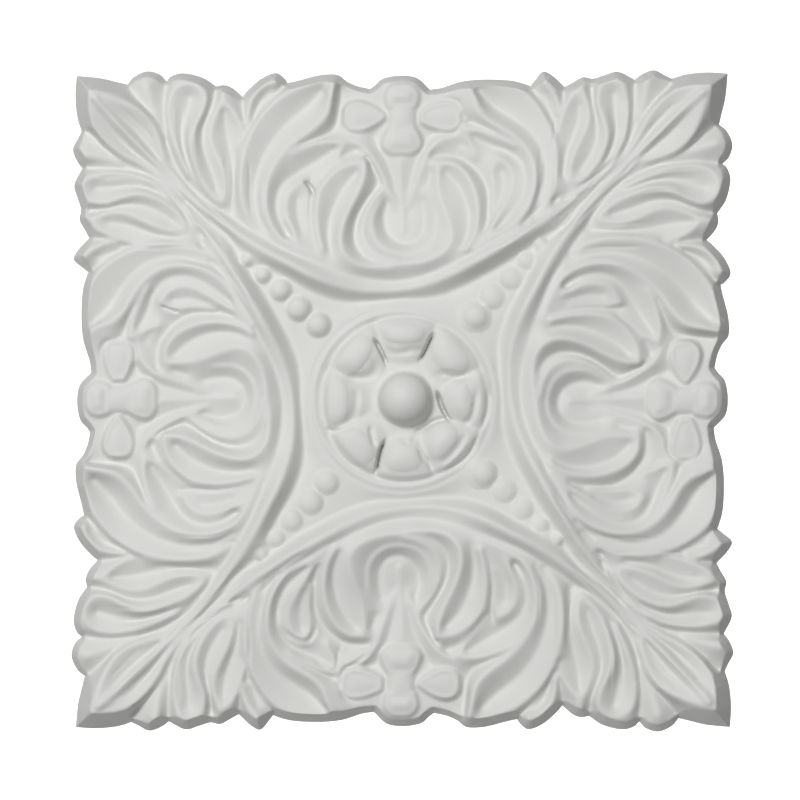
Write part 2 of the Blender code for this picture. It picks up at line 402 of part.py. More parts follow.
def side_flower(gx, gy):
    """Small flower: four petals with raised borders, held by a waist between them.
    Gives its heights, and how far inside its outline each point lies."""
    z = np.zeros(gx.shape)
    within = np.full(gx.shape, -9.0)
    dx = gx - SIDE_FLOWER[0]
    dy = gy - SIDE_FLOWER[1]
    for direction, root, reach, narrow, broad, top, dome, square in SIDE_PETALS:
        c, s = np.cos(np.radians(direction)), np.sin(np.radians(direction))
        along = (dx * c + dy * s - root) / (reach - root)
        across = np.abs(dy * c - dx * s)
        fan = narrow + (broad - narrow) * np.sin(np.pi / 2 * np.clip(along / 0.7, 0, 1))
        blunt = (1 - np.clip((along - square) / (1 - square), 0, 1) ** 2.6) ** 0.45
        edge = np.minimum(fan * blunt - across, (reach - root) * np.minimum(1 - along, along))
        border = np.exp(-((edge - 1.0) / 0.62) ** 4)
        petal = top - 0.75 + 0.75 * border - 1.8 * np.clip(0.7 - edge, 0, 1)
        petal = petal + (0.45 + dome) * np.sin(np.pi / 2 * np.clip((edge - 1.4) / 3.6, 0, 1))
        z = np.where(edge > 0, np.maximum(z, petal), z)
        reached = (along > -0.3) & (along < 1.3)
        within = np.where(reached, np.maximum(within, edge), within)
    waist = np.minimum(4.9 - np.abs(dx), 3.4 - np.abs(dy))
    pad = 8.9 - 1.2 * np.clip(0.8 - waist, 0, 1) - 0.05 * dx * dx
    return np.where(waist > 0, np.maximum(z, pad), z), np.maximum(within, waist)


def carve():
    """Heights of the carved face in drawing units, over a square grid."""
    count = int(round(2 * HALF_SPAN / STEP)) + 1
    grid = np.linspace(-HALF_SPAN, HALF_SPAN, count)
    gx, gy = np.meshgrid(grid, grid)
    low_known = np.zeros((count, count), dtype=bool)
    low = np.zeros((count, count))
    for width, line in GROOVES:
        stamp(line, width, -0.25 * width, grid, low_known, low, False)
    high_known = np.zeros((count, count), dtype=bool)
    high = np.zeros((count, count))
    for width, line in CRESTS:
        stamp(line, 1.1 * width, 0.28 * width, grid, high_known, high, True)
    low_known, low = four_turns(low_known, low, np.minimum)
    high_known, high = four_turns(high_known, high, np.maximum)
    middle, flower = middle_flower(gx, gy)
    known = low_known | high_known | middle
    height = np.where(high_known, high, low)
    height = np.where(middle, np.where(high_known, np.maximum(flower, high), flower), height)
    side = side_foot()
    loop = np.vstack([quarter_turn(side, turn)[:-1] for turn in range(4)])
    depth = depth_inside(grid, loop)
    beyond = depth < -1.0
    z = stretch_skin(known | beyond, np.where(beyond, 7.0, height))
    outside_ring = np.clip((np.hypot(gx, gy) - OUTER_RING_RADIUS / PLAN - 0.6) / 4.0, 0, 1)
    z = z + (CARVING_DEPTH - 1) * outside_ring * (z - soften(z, MEAN_OVER / STEP))
    for turn in range(4):
        for bead in BEADS:
            x, y = quarter_turn(np.array([bead[:2]]), turn)[0]
            radius = bead[2]
            d = np.hypot(gx - x, gy - y)
            level = np.median(z[(d > 0.95 * radius) & (d < 1.2 * radius)])
            rise = BEAD_RISES[turn] * radius
            dome = level - 0.05 * radius + rise * np.sqrt(np.clip(1 - (d / radius) ** 2.4, 0, 1))
            gutter = z - 0.35 * np.exp(-((d - radius - 0.2) / 0.5) ** 2)
            z = np.where(d < radius + 0.8, gutter, z)
            z = np.where(d < radius, np.maximum(dome, z), z)
    flower, within = side_flower(gx, gy)
    moat = 7.1 + 1.6 * np.clip(-0.5 - within, 0, 3) + 20 * (within < -2.5)
    for turn in range(4):
        turned = np.rot90(flower, turn)
        z = np.minimum(z, np.rot90(moat, turn))
        z = np.where(turned > 0, np.maximum(z, turned), z)
    z = soften(z, 0.5 / STEP)
    wall = EDGE_HEIGHT / RISE + DRAFT_SLOPE * np.maximum(depth, 0) + 40 * (depth > 7.9)
    lip = 0.5
    h = np.clip(0.5 + 0.5 * (wall - z) / lip, 0, 1)
    z = wall * (1 - h) + z * h - lip * h * (1 - h)
    return grid, np.where(depth <= 0, EDGE_HEIGHT / RISE, z), side


def sample(grid, z, x, y):
    """Height between the points of the map."""
    last = len(grid) - 2
    u = (x - grid[0]) / (grid[1] - grid[0])
    v = (y - grid[0]) / (grid[1] - grid[0])
    i = np.clip(u.astype(int), 0, last)
    j = np.clip(v.astype(int), 0, last)
    u = u - i
    v = v - j
    near = z[j, i] * (1 - u) + z[j, i + 1] * u
    far = z[j + 1, i] * (1 - u) + z[j + 1, i + 1] * u
    return near * (1 - v) + far * v


def fit_to_foot(x, y, side):
    """Draw the outer part of a square sheet in to the foot line."""
    half = DRAWN_WIDTH / 2
    ring = np.maximum(np.abs(x), np.abs(y))
    run = np.concatenate(([0], np.cumsum(np.hypot(*np.diff(side, axis=0).T))))
    run = run / run[-1]
    t = np.clip((ring / half - 0.82) / 0.18, 0, 1)
    pull = t * t * (3 - 2 * t)
    out = np.stack((x, y), axis=1)
    wedge = np.where(np.abs(x) <= np.abs(y), np.where(y > 0, 0, 2), np.where(x > 0, 1, 3))
    for turn in range(4):
        mine = (wedge == turn) & (ring > 0.5 * half)
        local = quarter_turn(out[mine], -turn)
        along = np.clip(local[:, 0] / ring[mine], -1, 1)
        share = (along + 1) / 2
        edge = np.stack((np.interp(share, run, side[:, 0]), np.interp(share, run, side[:, 1])), axis=1)
        plain = np.stack((along * half, np.full(len(along), half)), axis=1)
        local = local + (edge - plain) * pull[mine][:, None]
        out[mine] = quarter_turn(local, turn)
    return out[:, 0], out[:, 1]


def face_sheet(name, grid, z, side, cells):
    """The carved face as an open sheet."""
    bm = bmesh.new()
    bmesh.ops.create_grid(bm, x_segments=cells, y_segments=cells, size=DRAWN_WIDTH / 2)
    flat = np.array([v.co[:] for v in bm.verts])
    x, y = fit_to_foot(flat[:, 0], flat[:, 1], side)
    h = sample(grid, z, x, y)
    for vert, px, py, pz in zip(bm.verts, x * PLAN, y * PLAN, h * RISE):
        vert.co = (px, -pz, py)
    mesh = bpy.data.meshes.new(name)
    bm.to_mesh(mesh)
    bm.free()
    return bpy.data.objects.new(name, mesh)


def thin_out(obj, triangles):
    """Mesh of the object with about this many triangles, dense where it bends."""
    bpy.context.scene.collection.objects.link(obj)
    collapse = obj.modifiers.new("Thin out", "DECIMATE")
    collapse.decimate_type = "COLLAPSE"
    collapse.ratio = triangles / (2 * len(obj.data.polygons))
    collapse.use_collapse_triangulate = True
    bpy.context.view_layer.update()
    mesh = bpy.data.meshes.new_from_object(obj.evaluated_get(bpy.context.evaluated_depsgraph_get()))
    bpy.data.objects.remove(obj)
    return mesh


def close_back(mesh):
    """Drop the upright rim to the back plane and close the flat back."""
    bm = bmesh.new()
    bm.from_mesh(mesh)
    rim = [e for e in bm.edges if e.is_boundary]
    made = bmesh.ops.extrude_edge_only(bm, edges=rim)["geom"]
    for vert in made:
        if isinstance(vert, bmesh.types.BMVert):
            vert.co.y = 0.0
    foot = [e for e in made if isinstance(e, bmesh.types.BMEdge) and e.is_boundary]
    back = bmesh.ops.contextual_create(bm, geom=foot)["faces"]
    bmesh.ops.triangulate(bm, faces=back)
    bmesh.ops.recalc_face_normals(bm, faces=bm.faces)
    bm.to_mesh(mesh)
    bm.free()


def primed_white():
    """Factory-primed white finish."""
    mat = bpy.data.materials.new("Primed white polyurethane")
    mat.use_nodes = True
    shader = mat.node_tree.nodes["Principled BSDF"]
    shader.inputs["Base Color"].default_value = (0.74, 0.74, 0.73, 1.0)
    shader.inputs["Roughness"].default_value = 0.62
    shader.inputs["Metallic"].default_value = 0.0
    return mat


def build():
    for old in list(bpy.data.objects):
        bpy.data.objects.remove(old, do_unlink=True)
    collection = bpy.data.collections.new("Rosette applique")
    bpy.context.scene.collection.children.link(collection)
    grid, z, side = carve()
    sheet = face_sheet("Carved face", grid, z, side, 440)
    mesh = thin_out(sheet, SOLID_TRIANGLES)
    mesh.name = "rosette_applique"
    close_back(mesh)
    mesh.materials.clear()
    mesh.materials.append(primed_white())
    mesh.shade_smooth()
    mesh.set_sharp_from_angle(angle=np.radians(40))
    collection.objects.link(bpy.data.objects.new("rosette_applique", mesh))


build()
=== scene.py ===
"""Dressed model of the square rosette applique: one white-primed casting of hard
polyurethane foam, standing upright as it hangs, alone before white paper.

The carving is made in units of a millimetre: crest lines and groove lines get
their heights, a skin is stretched over them, and the flowers and beads are set in.
"""

import bmesh
import bpy
import numpy as np
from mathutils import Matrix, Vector


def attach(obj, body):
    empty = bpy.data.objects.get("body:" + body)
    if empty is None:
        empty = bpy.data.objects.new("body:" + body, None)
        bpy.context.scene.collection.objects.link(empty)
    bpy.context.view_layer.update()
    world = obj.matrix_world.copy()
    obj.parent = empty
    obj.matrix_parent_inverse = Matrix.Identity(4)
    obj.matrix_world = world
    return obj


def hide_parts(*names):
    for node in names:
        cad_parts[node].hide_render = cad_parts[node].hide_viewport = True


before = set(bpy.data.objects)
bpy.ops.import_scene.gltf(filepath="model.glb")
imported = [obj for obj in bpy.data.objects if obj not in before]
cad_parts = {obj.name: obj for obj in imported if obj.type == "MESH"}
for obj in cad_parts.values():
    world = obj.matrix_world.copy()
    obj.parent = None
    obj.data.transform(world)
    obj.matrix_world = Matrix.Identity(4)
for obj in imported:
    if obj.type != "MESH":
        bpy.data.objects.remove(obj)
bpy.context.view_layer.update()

# Sizes of the casting, metres
WIDTH = 0.2240
RIB_HEIGHT = 0.0167
EDGE_HEIGHT = 0.0012
DRAFT_SLOPE = 2.5
BOSS_RADIUS = 0.0087
BOSS_HEIGHT = 0.0215
PETAL_COUNT = 8
FLOWER_RADIUS = 0.0276
RING_RADIUS = 0.0296
OUTER_RING_RADIUS = 0.0322

# The carving is drawn in units of a millimetre on a piece of the sizes above
DRAWN_WIDTH = 224.0
DRAWN_RIB_HEIGHT = 16.7
PLAN = WIDTH / DRAWN_WIDTH
RISE = RIB_HEIGHT / DRAWN_RIB_HEIGHT
HALF_SPAN = 116.0         # of the map of heights, a little past the edge
STEP = 0.25               # between the points of the map
LINE_SPACING = 0.25       # between the points of a crest or a groove
FOOT_SPACING = 0.4        # between the points of the foot line
CARVING_DEPTH = 1.45      # how much the carving is deepened about its own mean
MEAN_OVER = 7.0           # width over which that mean is taken
SOFTNESS = 0.6            # how far the carving is rounded over

# The mesh: cells along a side before it is thinned, and triangles after
SHEET_CELLS = 640
SURFACE_TRIANGLES = 180000
UNFOLD_ROUNDS = 20        # most rounds of evening out folded triangles
SHARP_OVER = 50           # degrees between two faces that make their edge sharp
BACK_MATERIAL = 1         # place of the back's material in the mesh
BEND_STEPS = 16           # strips in the bend of the background paper

# Bands of the crests and grooves: how far a crest spreads past its half width, and how
# far a band falls or rises from its middle to its side, for each unit of half width
CREST_SPREAD = 1.1
CREST_CROWN = 0.28
GROOVE_DISH = 0.25
LEAST_REACH = 0.75        # cells that the thinnest band still reaches to each side
FADE = 5                  # a fine strand fades in over a fifth of its length

# The skin between them: cells to a block and rounds of evening out, coarse to fine
SKIN_ROUNDS = ((8, 300), (4, 160), (2, 90), (1, 60))
SKIN_START = 8.0

# The edge: height of the face there, band in which a wall can lean, rounding of its lip
RIM_HEIGHT = 7.0
WALL_REACH = 8.0
LIP = 0.5
PULL_FROM = 0.82          # share of the half width past which the sheet is drawn in
PULL_OVER = 0.18          # to the foot line, and the share over which that sets in

# Heights and widths in the middle flower and its rings
BOSS_FOOT = 12.4
BOSS_GAP = 2.2
PETAL_FLOOR = 9.9
TIP_FLOOR = 9.3
TIP_DROP = 1.8
TIP_ROUND = 1.4
RING_FLOOR = 9.5
RING_RISE = 1.1
OUTER_RING_RISE = 0.5
MIDDLE_MARGIN = 0.6       # past the outer ring, where the middle ends
RING_BLEND = 4.0          # past that, over which the deepening of the carving sets in

# Borders and waist of the side flowers, and the ground round them; gutter of a bead
BORDER_INSET = 1.0
BORDER_HALF = 0.62
BORDER_RISE = 0.75
WAIST_HALF_LENGTH = 4.9
WAIST_HALF_HEIGHT = 3.4
WAIST_TOP = 8.9
MOAT_FLOOR = 7.1
BEAD_GUTTER = 0.35
PUFF_SQUARE = 2.4         # how square a swelling is seen from the front
PUFF_FULLNESS = 0.7       # how steeply it rises at its edge

# Values past any that is drawn: squared distance, height, depth and squared length
FAR = 1e9
FAR_ABOVE = 40.0
FAR_OUTSIDE = -9.0
NO_LENGTH = 1e-9

# Sockets of a colour mix
MIX_FACTOR = 0
MIX_A = 6
MIX_B = 7
MIX_RESULT = 2

# The middle flower sits a little off the centre of its ring. Its petals, from the right
# hand one round by the top, are uneven: how high each rises and how far it leans.
FLOWER_CENTRE = (1.3, 0.1)
PETAL_RISES = (3.0, 2.8, 3.0, 2.8, 2.6, 2.7, 2.8, 3.1)
PETAL_LEANS = (-0.1, 0.08, 0.0, 0.12, -0.12, 0.08, -0.06, 0.1)

# Beads down each diagonal: x, y, radius; and how proud they stand, turn by turn
BEADS = (
    (-28.0, 25.2, 4.1), (-34.7, 30.8, 4.2), (-40.8, 37.1, 3.7), (-46.9, 42.3, 2.9),
    (-52.2, 47.4, 2.4),
)
BEAD_RISES = (0.80, 0.46, 0.42, 0.52)

# Petals of the flower at a side: direction in degrees, root, reach, half widths there,
# height of the border, rise of the middle, how square the end is
SIDE_FLOWER = (0.2, 96.0)
SIDE_PETALS = (
    (90, 2.4, 11.6, 5.2, 6.5, 8.9, 1.0, 0.3),
    (180, 5.0, 20.4, 0.9, 5.8, 8.7, 0.1, 0.6),
    (0, 5.6, 20.6, 2.4, 5.7, 8.7, 0.1, 0.6),
    (270, 2.6, 13.4, 4.4, 7.4, 8.8, 0.9, 0.5),
)

# Rounded crests: half width, then (x, y, z) stations.
CRESTS = (
    # arc between the centre panel and the side spray, strand to strand
    (1.3, ((-80, 77.3, 8.8), (-74.5, 71.8, 9.0), (-68, 65.8, 9.9), (-61, 60.2, 11.4),
           (-53.5, 54.6, 12.9), (-45, 49.4, 14.6), (-37, 45.3, 15.3), (-29, 41.3, 15.0),
           (-20.4, 38.4, 13.3), (-12, 36.9, 11.9), (-2, 36.9, 11.4), (8, 38.8, 11.9),
           (17, 42.3, 13.2), (25, 46.3, 14.8), (33, 50.7, 15.3), (41, 55.4, 14.6), (49, 60.6, 12.9),
           (57, 66.2, 10.8), (64.5, 73, 9.4), (71, 80.5, 8.8))),
    # left scroll, outermost lobe
    (1.2, ((-49.0, 57.3, 11.2), (-52.8, 64, 11.5), (-54.2, 72, 11.4), (-53.8, 80, 10.9),
           (-51.2, 89, 10.0), (-46.5, 97, 9.0), (-38.5, 103.8, 8.7), (-28, 108.0, 9.0),
           (-21.3, 109.0, 9.6))),
    (1.2, ((-22.6, 108.6, 9.6), (-23.7, 103, 10.1), (-25.4, 96.5, 10.0), (-30, 91.6, 9.8),
           (-36.5, 86.8, 9.9), (-41.6, 81, 10.7), (-45.2, 74, 11.8), (-46.1, 66.5, 12.5),
           (-44.4, 59.5, 13.0), (-40.3, 54.2, 13.3), (-34, 50.6, 13.4), (-27, 47.8, 13.3))),
    # left scroll, second lobe
    (1.0, ((-19.2, 86.9, 8.6), (-25, 87.3, 8.9), (-31, 86.0, 9.3), (-37.5, 83.2, 10.0))),
    (0.8, ((-19.2, 86.9, 8.6), (-21.8, 82.2, 8.4), (-25.2, 78, 8.5), (-28.7, 73.4, 8.9))),
    # left scroll, small inner lobe
    (1.0, ((-34.8, 52.2, 13.2), (-36.6, 57, 12.8), (-38.6, 62, 12.0), (-38.9, 67, 11.2),
           (-36.6, 71.2, 10.4), (-32.8, 73.6, 9.8))),
    (0.8, ((-32.8, 73.6, 9.8), (-31.6, 69.5, 9.8), (-31.9, 63, 10.8), (-31.2, 57, 12.0))),
    # left scroll, lobe beside the cup
    (1.0, ((-12.2, 80.2, 9.6), (-17.5, 79.4, 9.5), (-23, 76.2, 9.9), (-27.2, 70.8, 10.7),
           (-28.6, 64, 11.6), (-28.2, 57, 12.6), (-26.6, 50.8, 13.6))),
    (0.9, ((-12.2, 80.2, 9.6), (-12.7, 75.5, 10.2), (-14.6, 70, 10.8), (-17.2, 64.8, 11.6),
           (-19.4, 59.4, 12.8), (-20.4, 54, 13.8), (-19.4, 49.4, 14.2), (-16.0, 46.0, 13.8),
           (-11, 44.6, 13.2), (-5, 44.4, 12.9))),
    # right scroll, outermost lobe
    (1.2, ((46.2, 60.5, 12.2), (50, 67.5, 11.6), (52.1, 75.5, 11.1), (52.2, 84, 10.5),
           (49.6, 93, 9.4), (44.8, 100.7, 8.7), (38, 105.8, 8.5), (30, 108.0, 8.6),
           (21.2, 107.2, 9.2))),
    (1.2, ((21.2, 107.2, 9.2), (24.4, 103, 9.9), (26.2, 98, 10.1), (30, 93.9, 10.1),
           (36, 90.5, 10.2), (41, 86.3, 10.5), (44.4, 80.8, 11.2), (45.4, 74.5, 12.2),
           (44.3, 68, 12.9), (41.5, 62.3, 13.5), (37, 57.8, 13.9), (31, 54.7, 14.0),
           (25, 50.6, 14.0))),
    # right scroll, second lobe
    (1.0, ((20.8, 91.7, 8.7), (26.5, 91.0, 8.9), (32, 89.0, 9.3), (38, 86.0, 10.1))),
    (0.8, ((20.8, 91.7, 8.7), (23.4, 87, 8.4), (25, 82.5, 8.6))),
    # right scroll, small inner lobe
    (1.0, ((28.6, 54.6, 13.8), (31.5, 59, 13.3), (34.4, 64, 12.5), (37.3, 69, 11.5),
           (38.3, 74, 10.7), (36.6, 78.8, 10.2), (33.2, 81.4, 9.9))),
    (0.8, ((33.2, 81.4, 9.9), (31, 77.5, 9.5), (31.2, 71, 10.2), (30.6, 63, 11.6))),
    # right scroll, lobe beside the cup
    (0.9, ((12.8, 79.8, 9.0), (17.5, 79.6, 9.5), (21.8, 76.4, 10.2), (24.7, 71, 11.1),
           (26.0, 65, 12.1), (25.8, 59.4, 13.1), (24.3, 54, 13.9), (22.2, 50.4, 14.2))),
    (1.1, ((12.8, 79.8, 9.0), (12.6, 75, 9.2), (13.2, 69.4, 9.9), (15.0, 64, 11.1),
           (16.8, 58.6, 12.6), (17.4, 53.6, 13.6), (15.0, 49.8, 13.9), (10.4, 47.2, 13.5),
           (5, 45.8, 13.1), (0, 45.4, 12.9), (-5, 44.4, 12.9))),
    # horseshoe in the cup
    (0.9, ((-6.2, 71.6, 7.7), (-9.6, 67.4, 8.6), (-12.4, 62, 9.8), (-13.1, 56, 10.8),
           (-10.8, 50.8, 11.8), (-6.4, 47.8, 12.5), (-1, 46.6, 12.8))),
    (0.7, ((-7.4, 67.0, 8.0), (-9.6, 62.4, 9.3), (-9.8, 57.4, 10.1), (-7.8, 52.8, 10.8),
           (-3.8, 50.0, 11.4), (1.2, 49.2, 11.5), (6.2, 50.4, 11.5), (9.8, 53.4, 11.2),
           (11.6, 58, 10.5), (11.4, 63.4, 9.6))),
    # three stems
    (1.4, ((0.6, 56.8, 8.7), (0.4, 59.6, 8.1), (0.4, 62.6, 7.5), (0.3, 66, 7.2))),
    (1.1, ((0.3, 66, 7.2), (0, 71, 7.3), (-0.2, 78, 7.5), (-0.2, 84, 7.8))),
    (0.9, ((-1.2, 63.5, 7.0), (-3.6, 69, 7.5), (-6.4, 75.5, 8.0), (-9.4, 81, 8.3), (-13, 85.6, 8.3),
           (-19, 88.6, 8.0))),
    (0.9, ((1.2, 63.5, 7.0), (4.2, 70, 7.5), (6.6, 77, 8.0), (8.8, 83, 8.3), (12.5, 87.3, 8.3),
           (20.6, 91.2, 8.3))),
    # corner leaf, middle lobe and its midrib
    (1.3, ((-105.2, 103.8, 13.4), (-100, 102.2, 13.2), (-94, 100.2, 12.2), (-88.8, 97.6, 11.2),
           (-85, 93.8, 10.1), (-82.4, 88.4, 9.4), (-80.8, 82, 8.8))),
    (1.3, ((-105.4, 103.4, 13.4), (-105.0, 97, 12.6), (-103.2, 91.6, 11.6), (-99.4, 87, 10.6),
           (-94, 83, 9.7), (-87.6, 79.6, 9.0), (-81, 74.6, 8.8), (-75.6, 68.2, 9.0))),
    (1.2, ((-103.4, 101.8, 14.2), (-98.2, 95.8, 12.6), (-92, 89, 10.9), (-86, 83, 9.7),
           (-80, 77.3, 8.9))),
    # corner leaf, lobes along the top edge
    (1.7, ((-86.6, 106.2, 8.8), (-85.2, 101, 8.5), (-82.8, 95, 8.2), (-81.2, 90, 8.0))),
    (1.1, ((-72.4, 76.4, 9.2), (-73.6, 79.4, 9.4), (-75.6, 84, 9.5), (-77.8, 90, 9.3),
           (-78.9, 96.5, 8.8), (-78.3, 102.5, 8.6), (-75.6, 106.3, 8.6), (-72, 107.3, 8.7),
           (-68.4, 105.6, 9.0), (-66.4, 102, 9.4), (-67.6, 97, 9.8), (-70.4, 91.6, 10.5),
           (-71.1, 86, 10.8), (-69.9, 80, 10.5), (-67.8, 74.8, 10.1), (-64.8, 70.2, 10.0),
           (-61.3, 67.0, 10.0), (-59.2, 70, 10.1), (-59.5, 75.5, 10.2), (-61.6, 80.8, 9.9),
           (-64, 86, 9.5), (-64.5, 91.4, 9.1), (-62.8, 97, 8.8), (-60.4, 101.6, 8.8))),
    (1.0, ((-59.9, 105.2, 8.4), (-60.3, 101.6, 8.8), (-57.0, 97.6, 8.7), (-54.6, 93.6, 8.7),
           (-53.4, 88.8, 8.8))),
    (1.0, ((-43.0, 107.6, 8.5), (-47, 106.3, 8.4), (-50.2, 102.8, 8.4), (-51.8, 98.4, 8.4),
           (-52.2, 93.5, 8.6))),
    # corner leaf, lobes along the other edge, as they fall at the right end of a side
    (1.7, ((83.3, 107.2, 9.2), (82.6, 102, 8.7), (80.8, 96, 8.2))),
    (1.1, ((66, 76, 9.2), (70.5, 80.4, 9.4), (73.6, 85, 9.5), (75.4, 90, 9.4), (76.3, 96, 9.2),
           (76.1, 102, 9.0), (74.4, 107.3, 9.2), (70.6, 108.0, 9.0), (67.5, 105.6, 9.0),
           (66.6, 100, 9.5), (68.4, 95, 10.0), (69.7, 89.6, 10.4), (68.6, 84, 10.4),
           (66.2, 79.6, 10.2), (63.2, 76, 10.1), (60, 73.9, 10.1), (57.5, 73.9, 10.2),
           (57.1, 78, 10.3), (58.6, 83, 10.3), (60.9, 88, 10.0), (63.1, 93, 9.6), (63.4, 98.4, 9.1),
           (61.2, 104.8, 8.9))),
    (1.0, ((61.2, 104.8, 8.9), (57.8, 102.6, 8.9), (55.6, 98, 8.9), (53.8, 93, 9.0),
           (52.9, 88, 9.2))),
    (1.0, ((48.6, 107.6, 9.0), (51.2, 104.4, 8.7), (53.2, 100.6, 8.6), (53.6, 96.5, 8.7))),
)

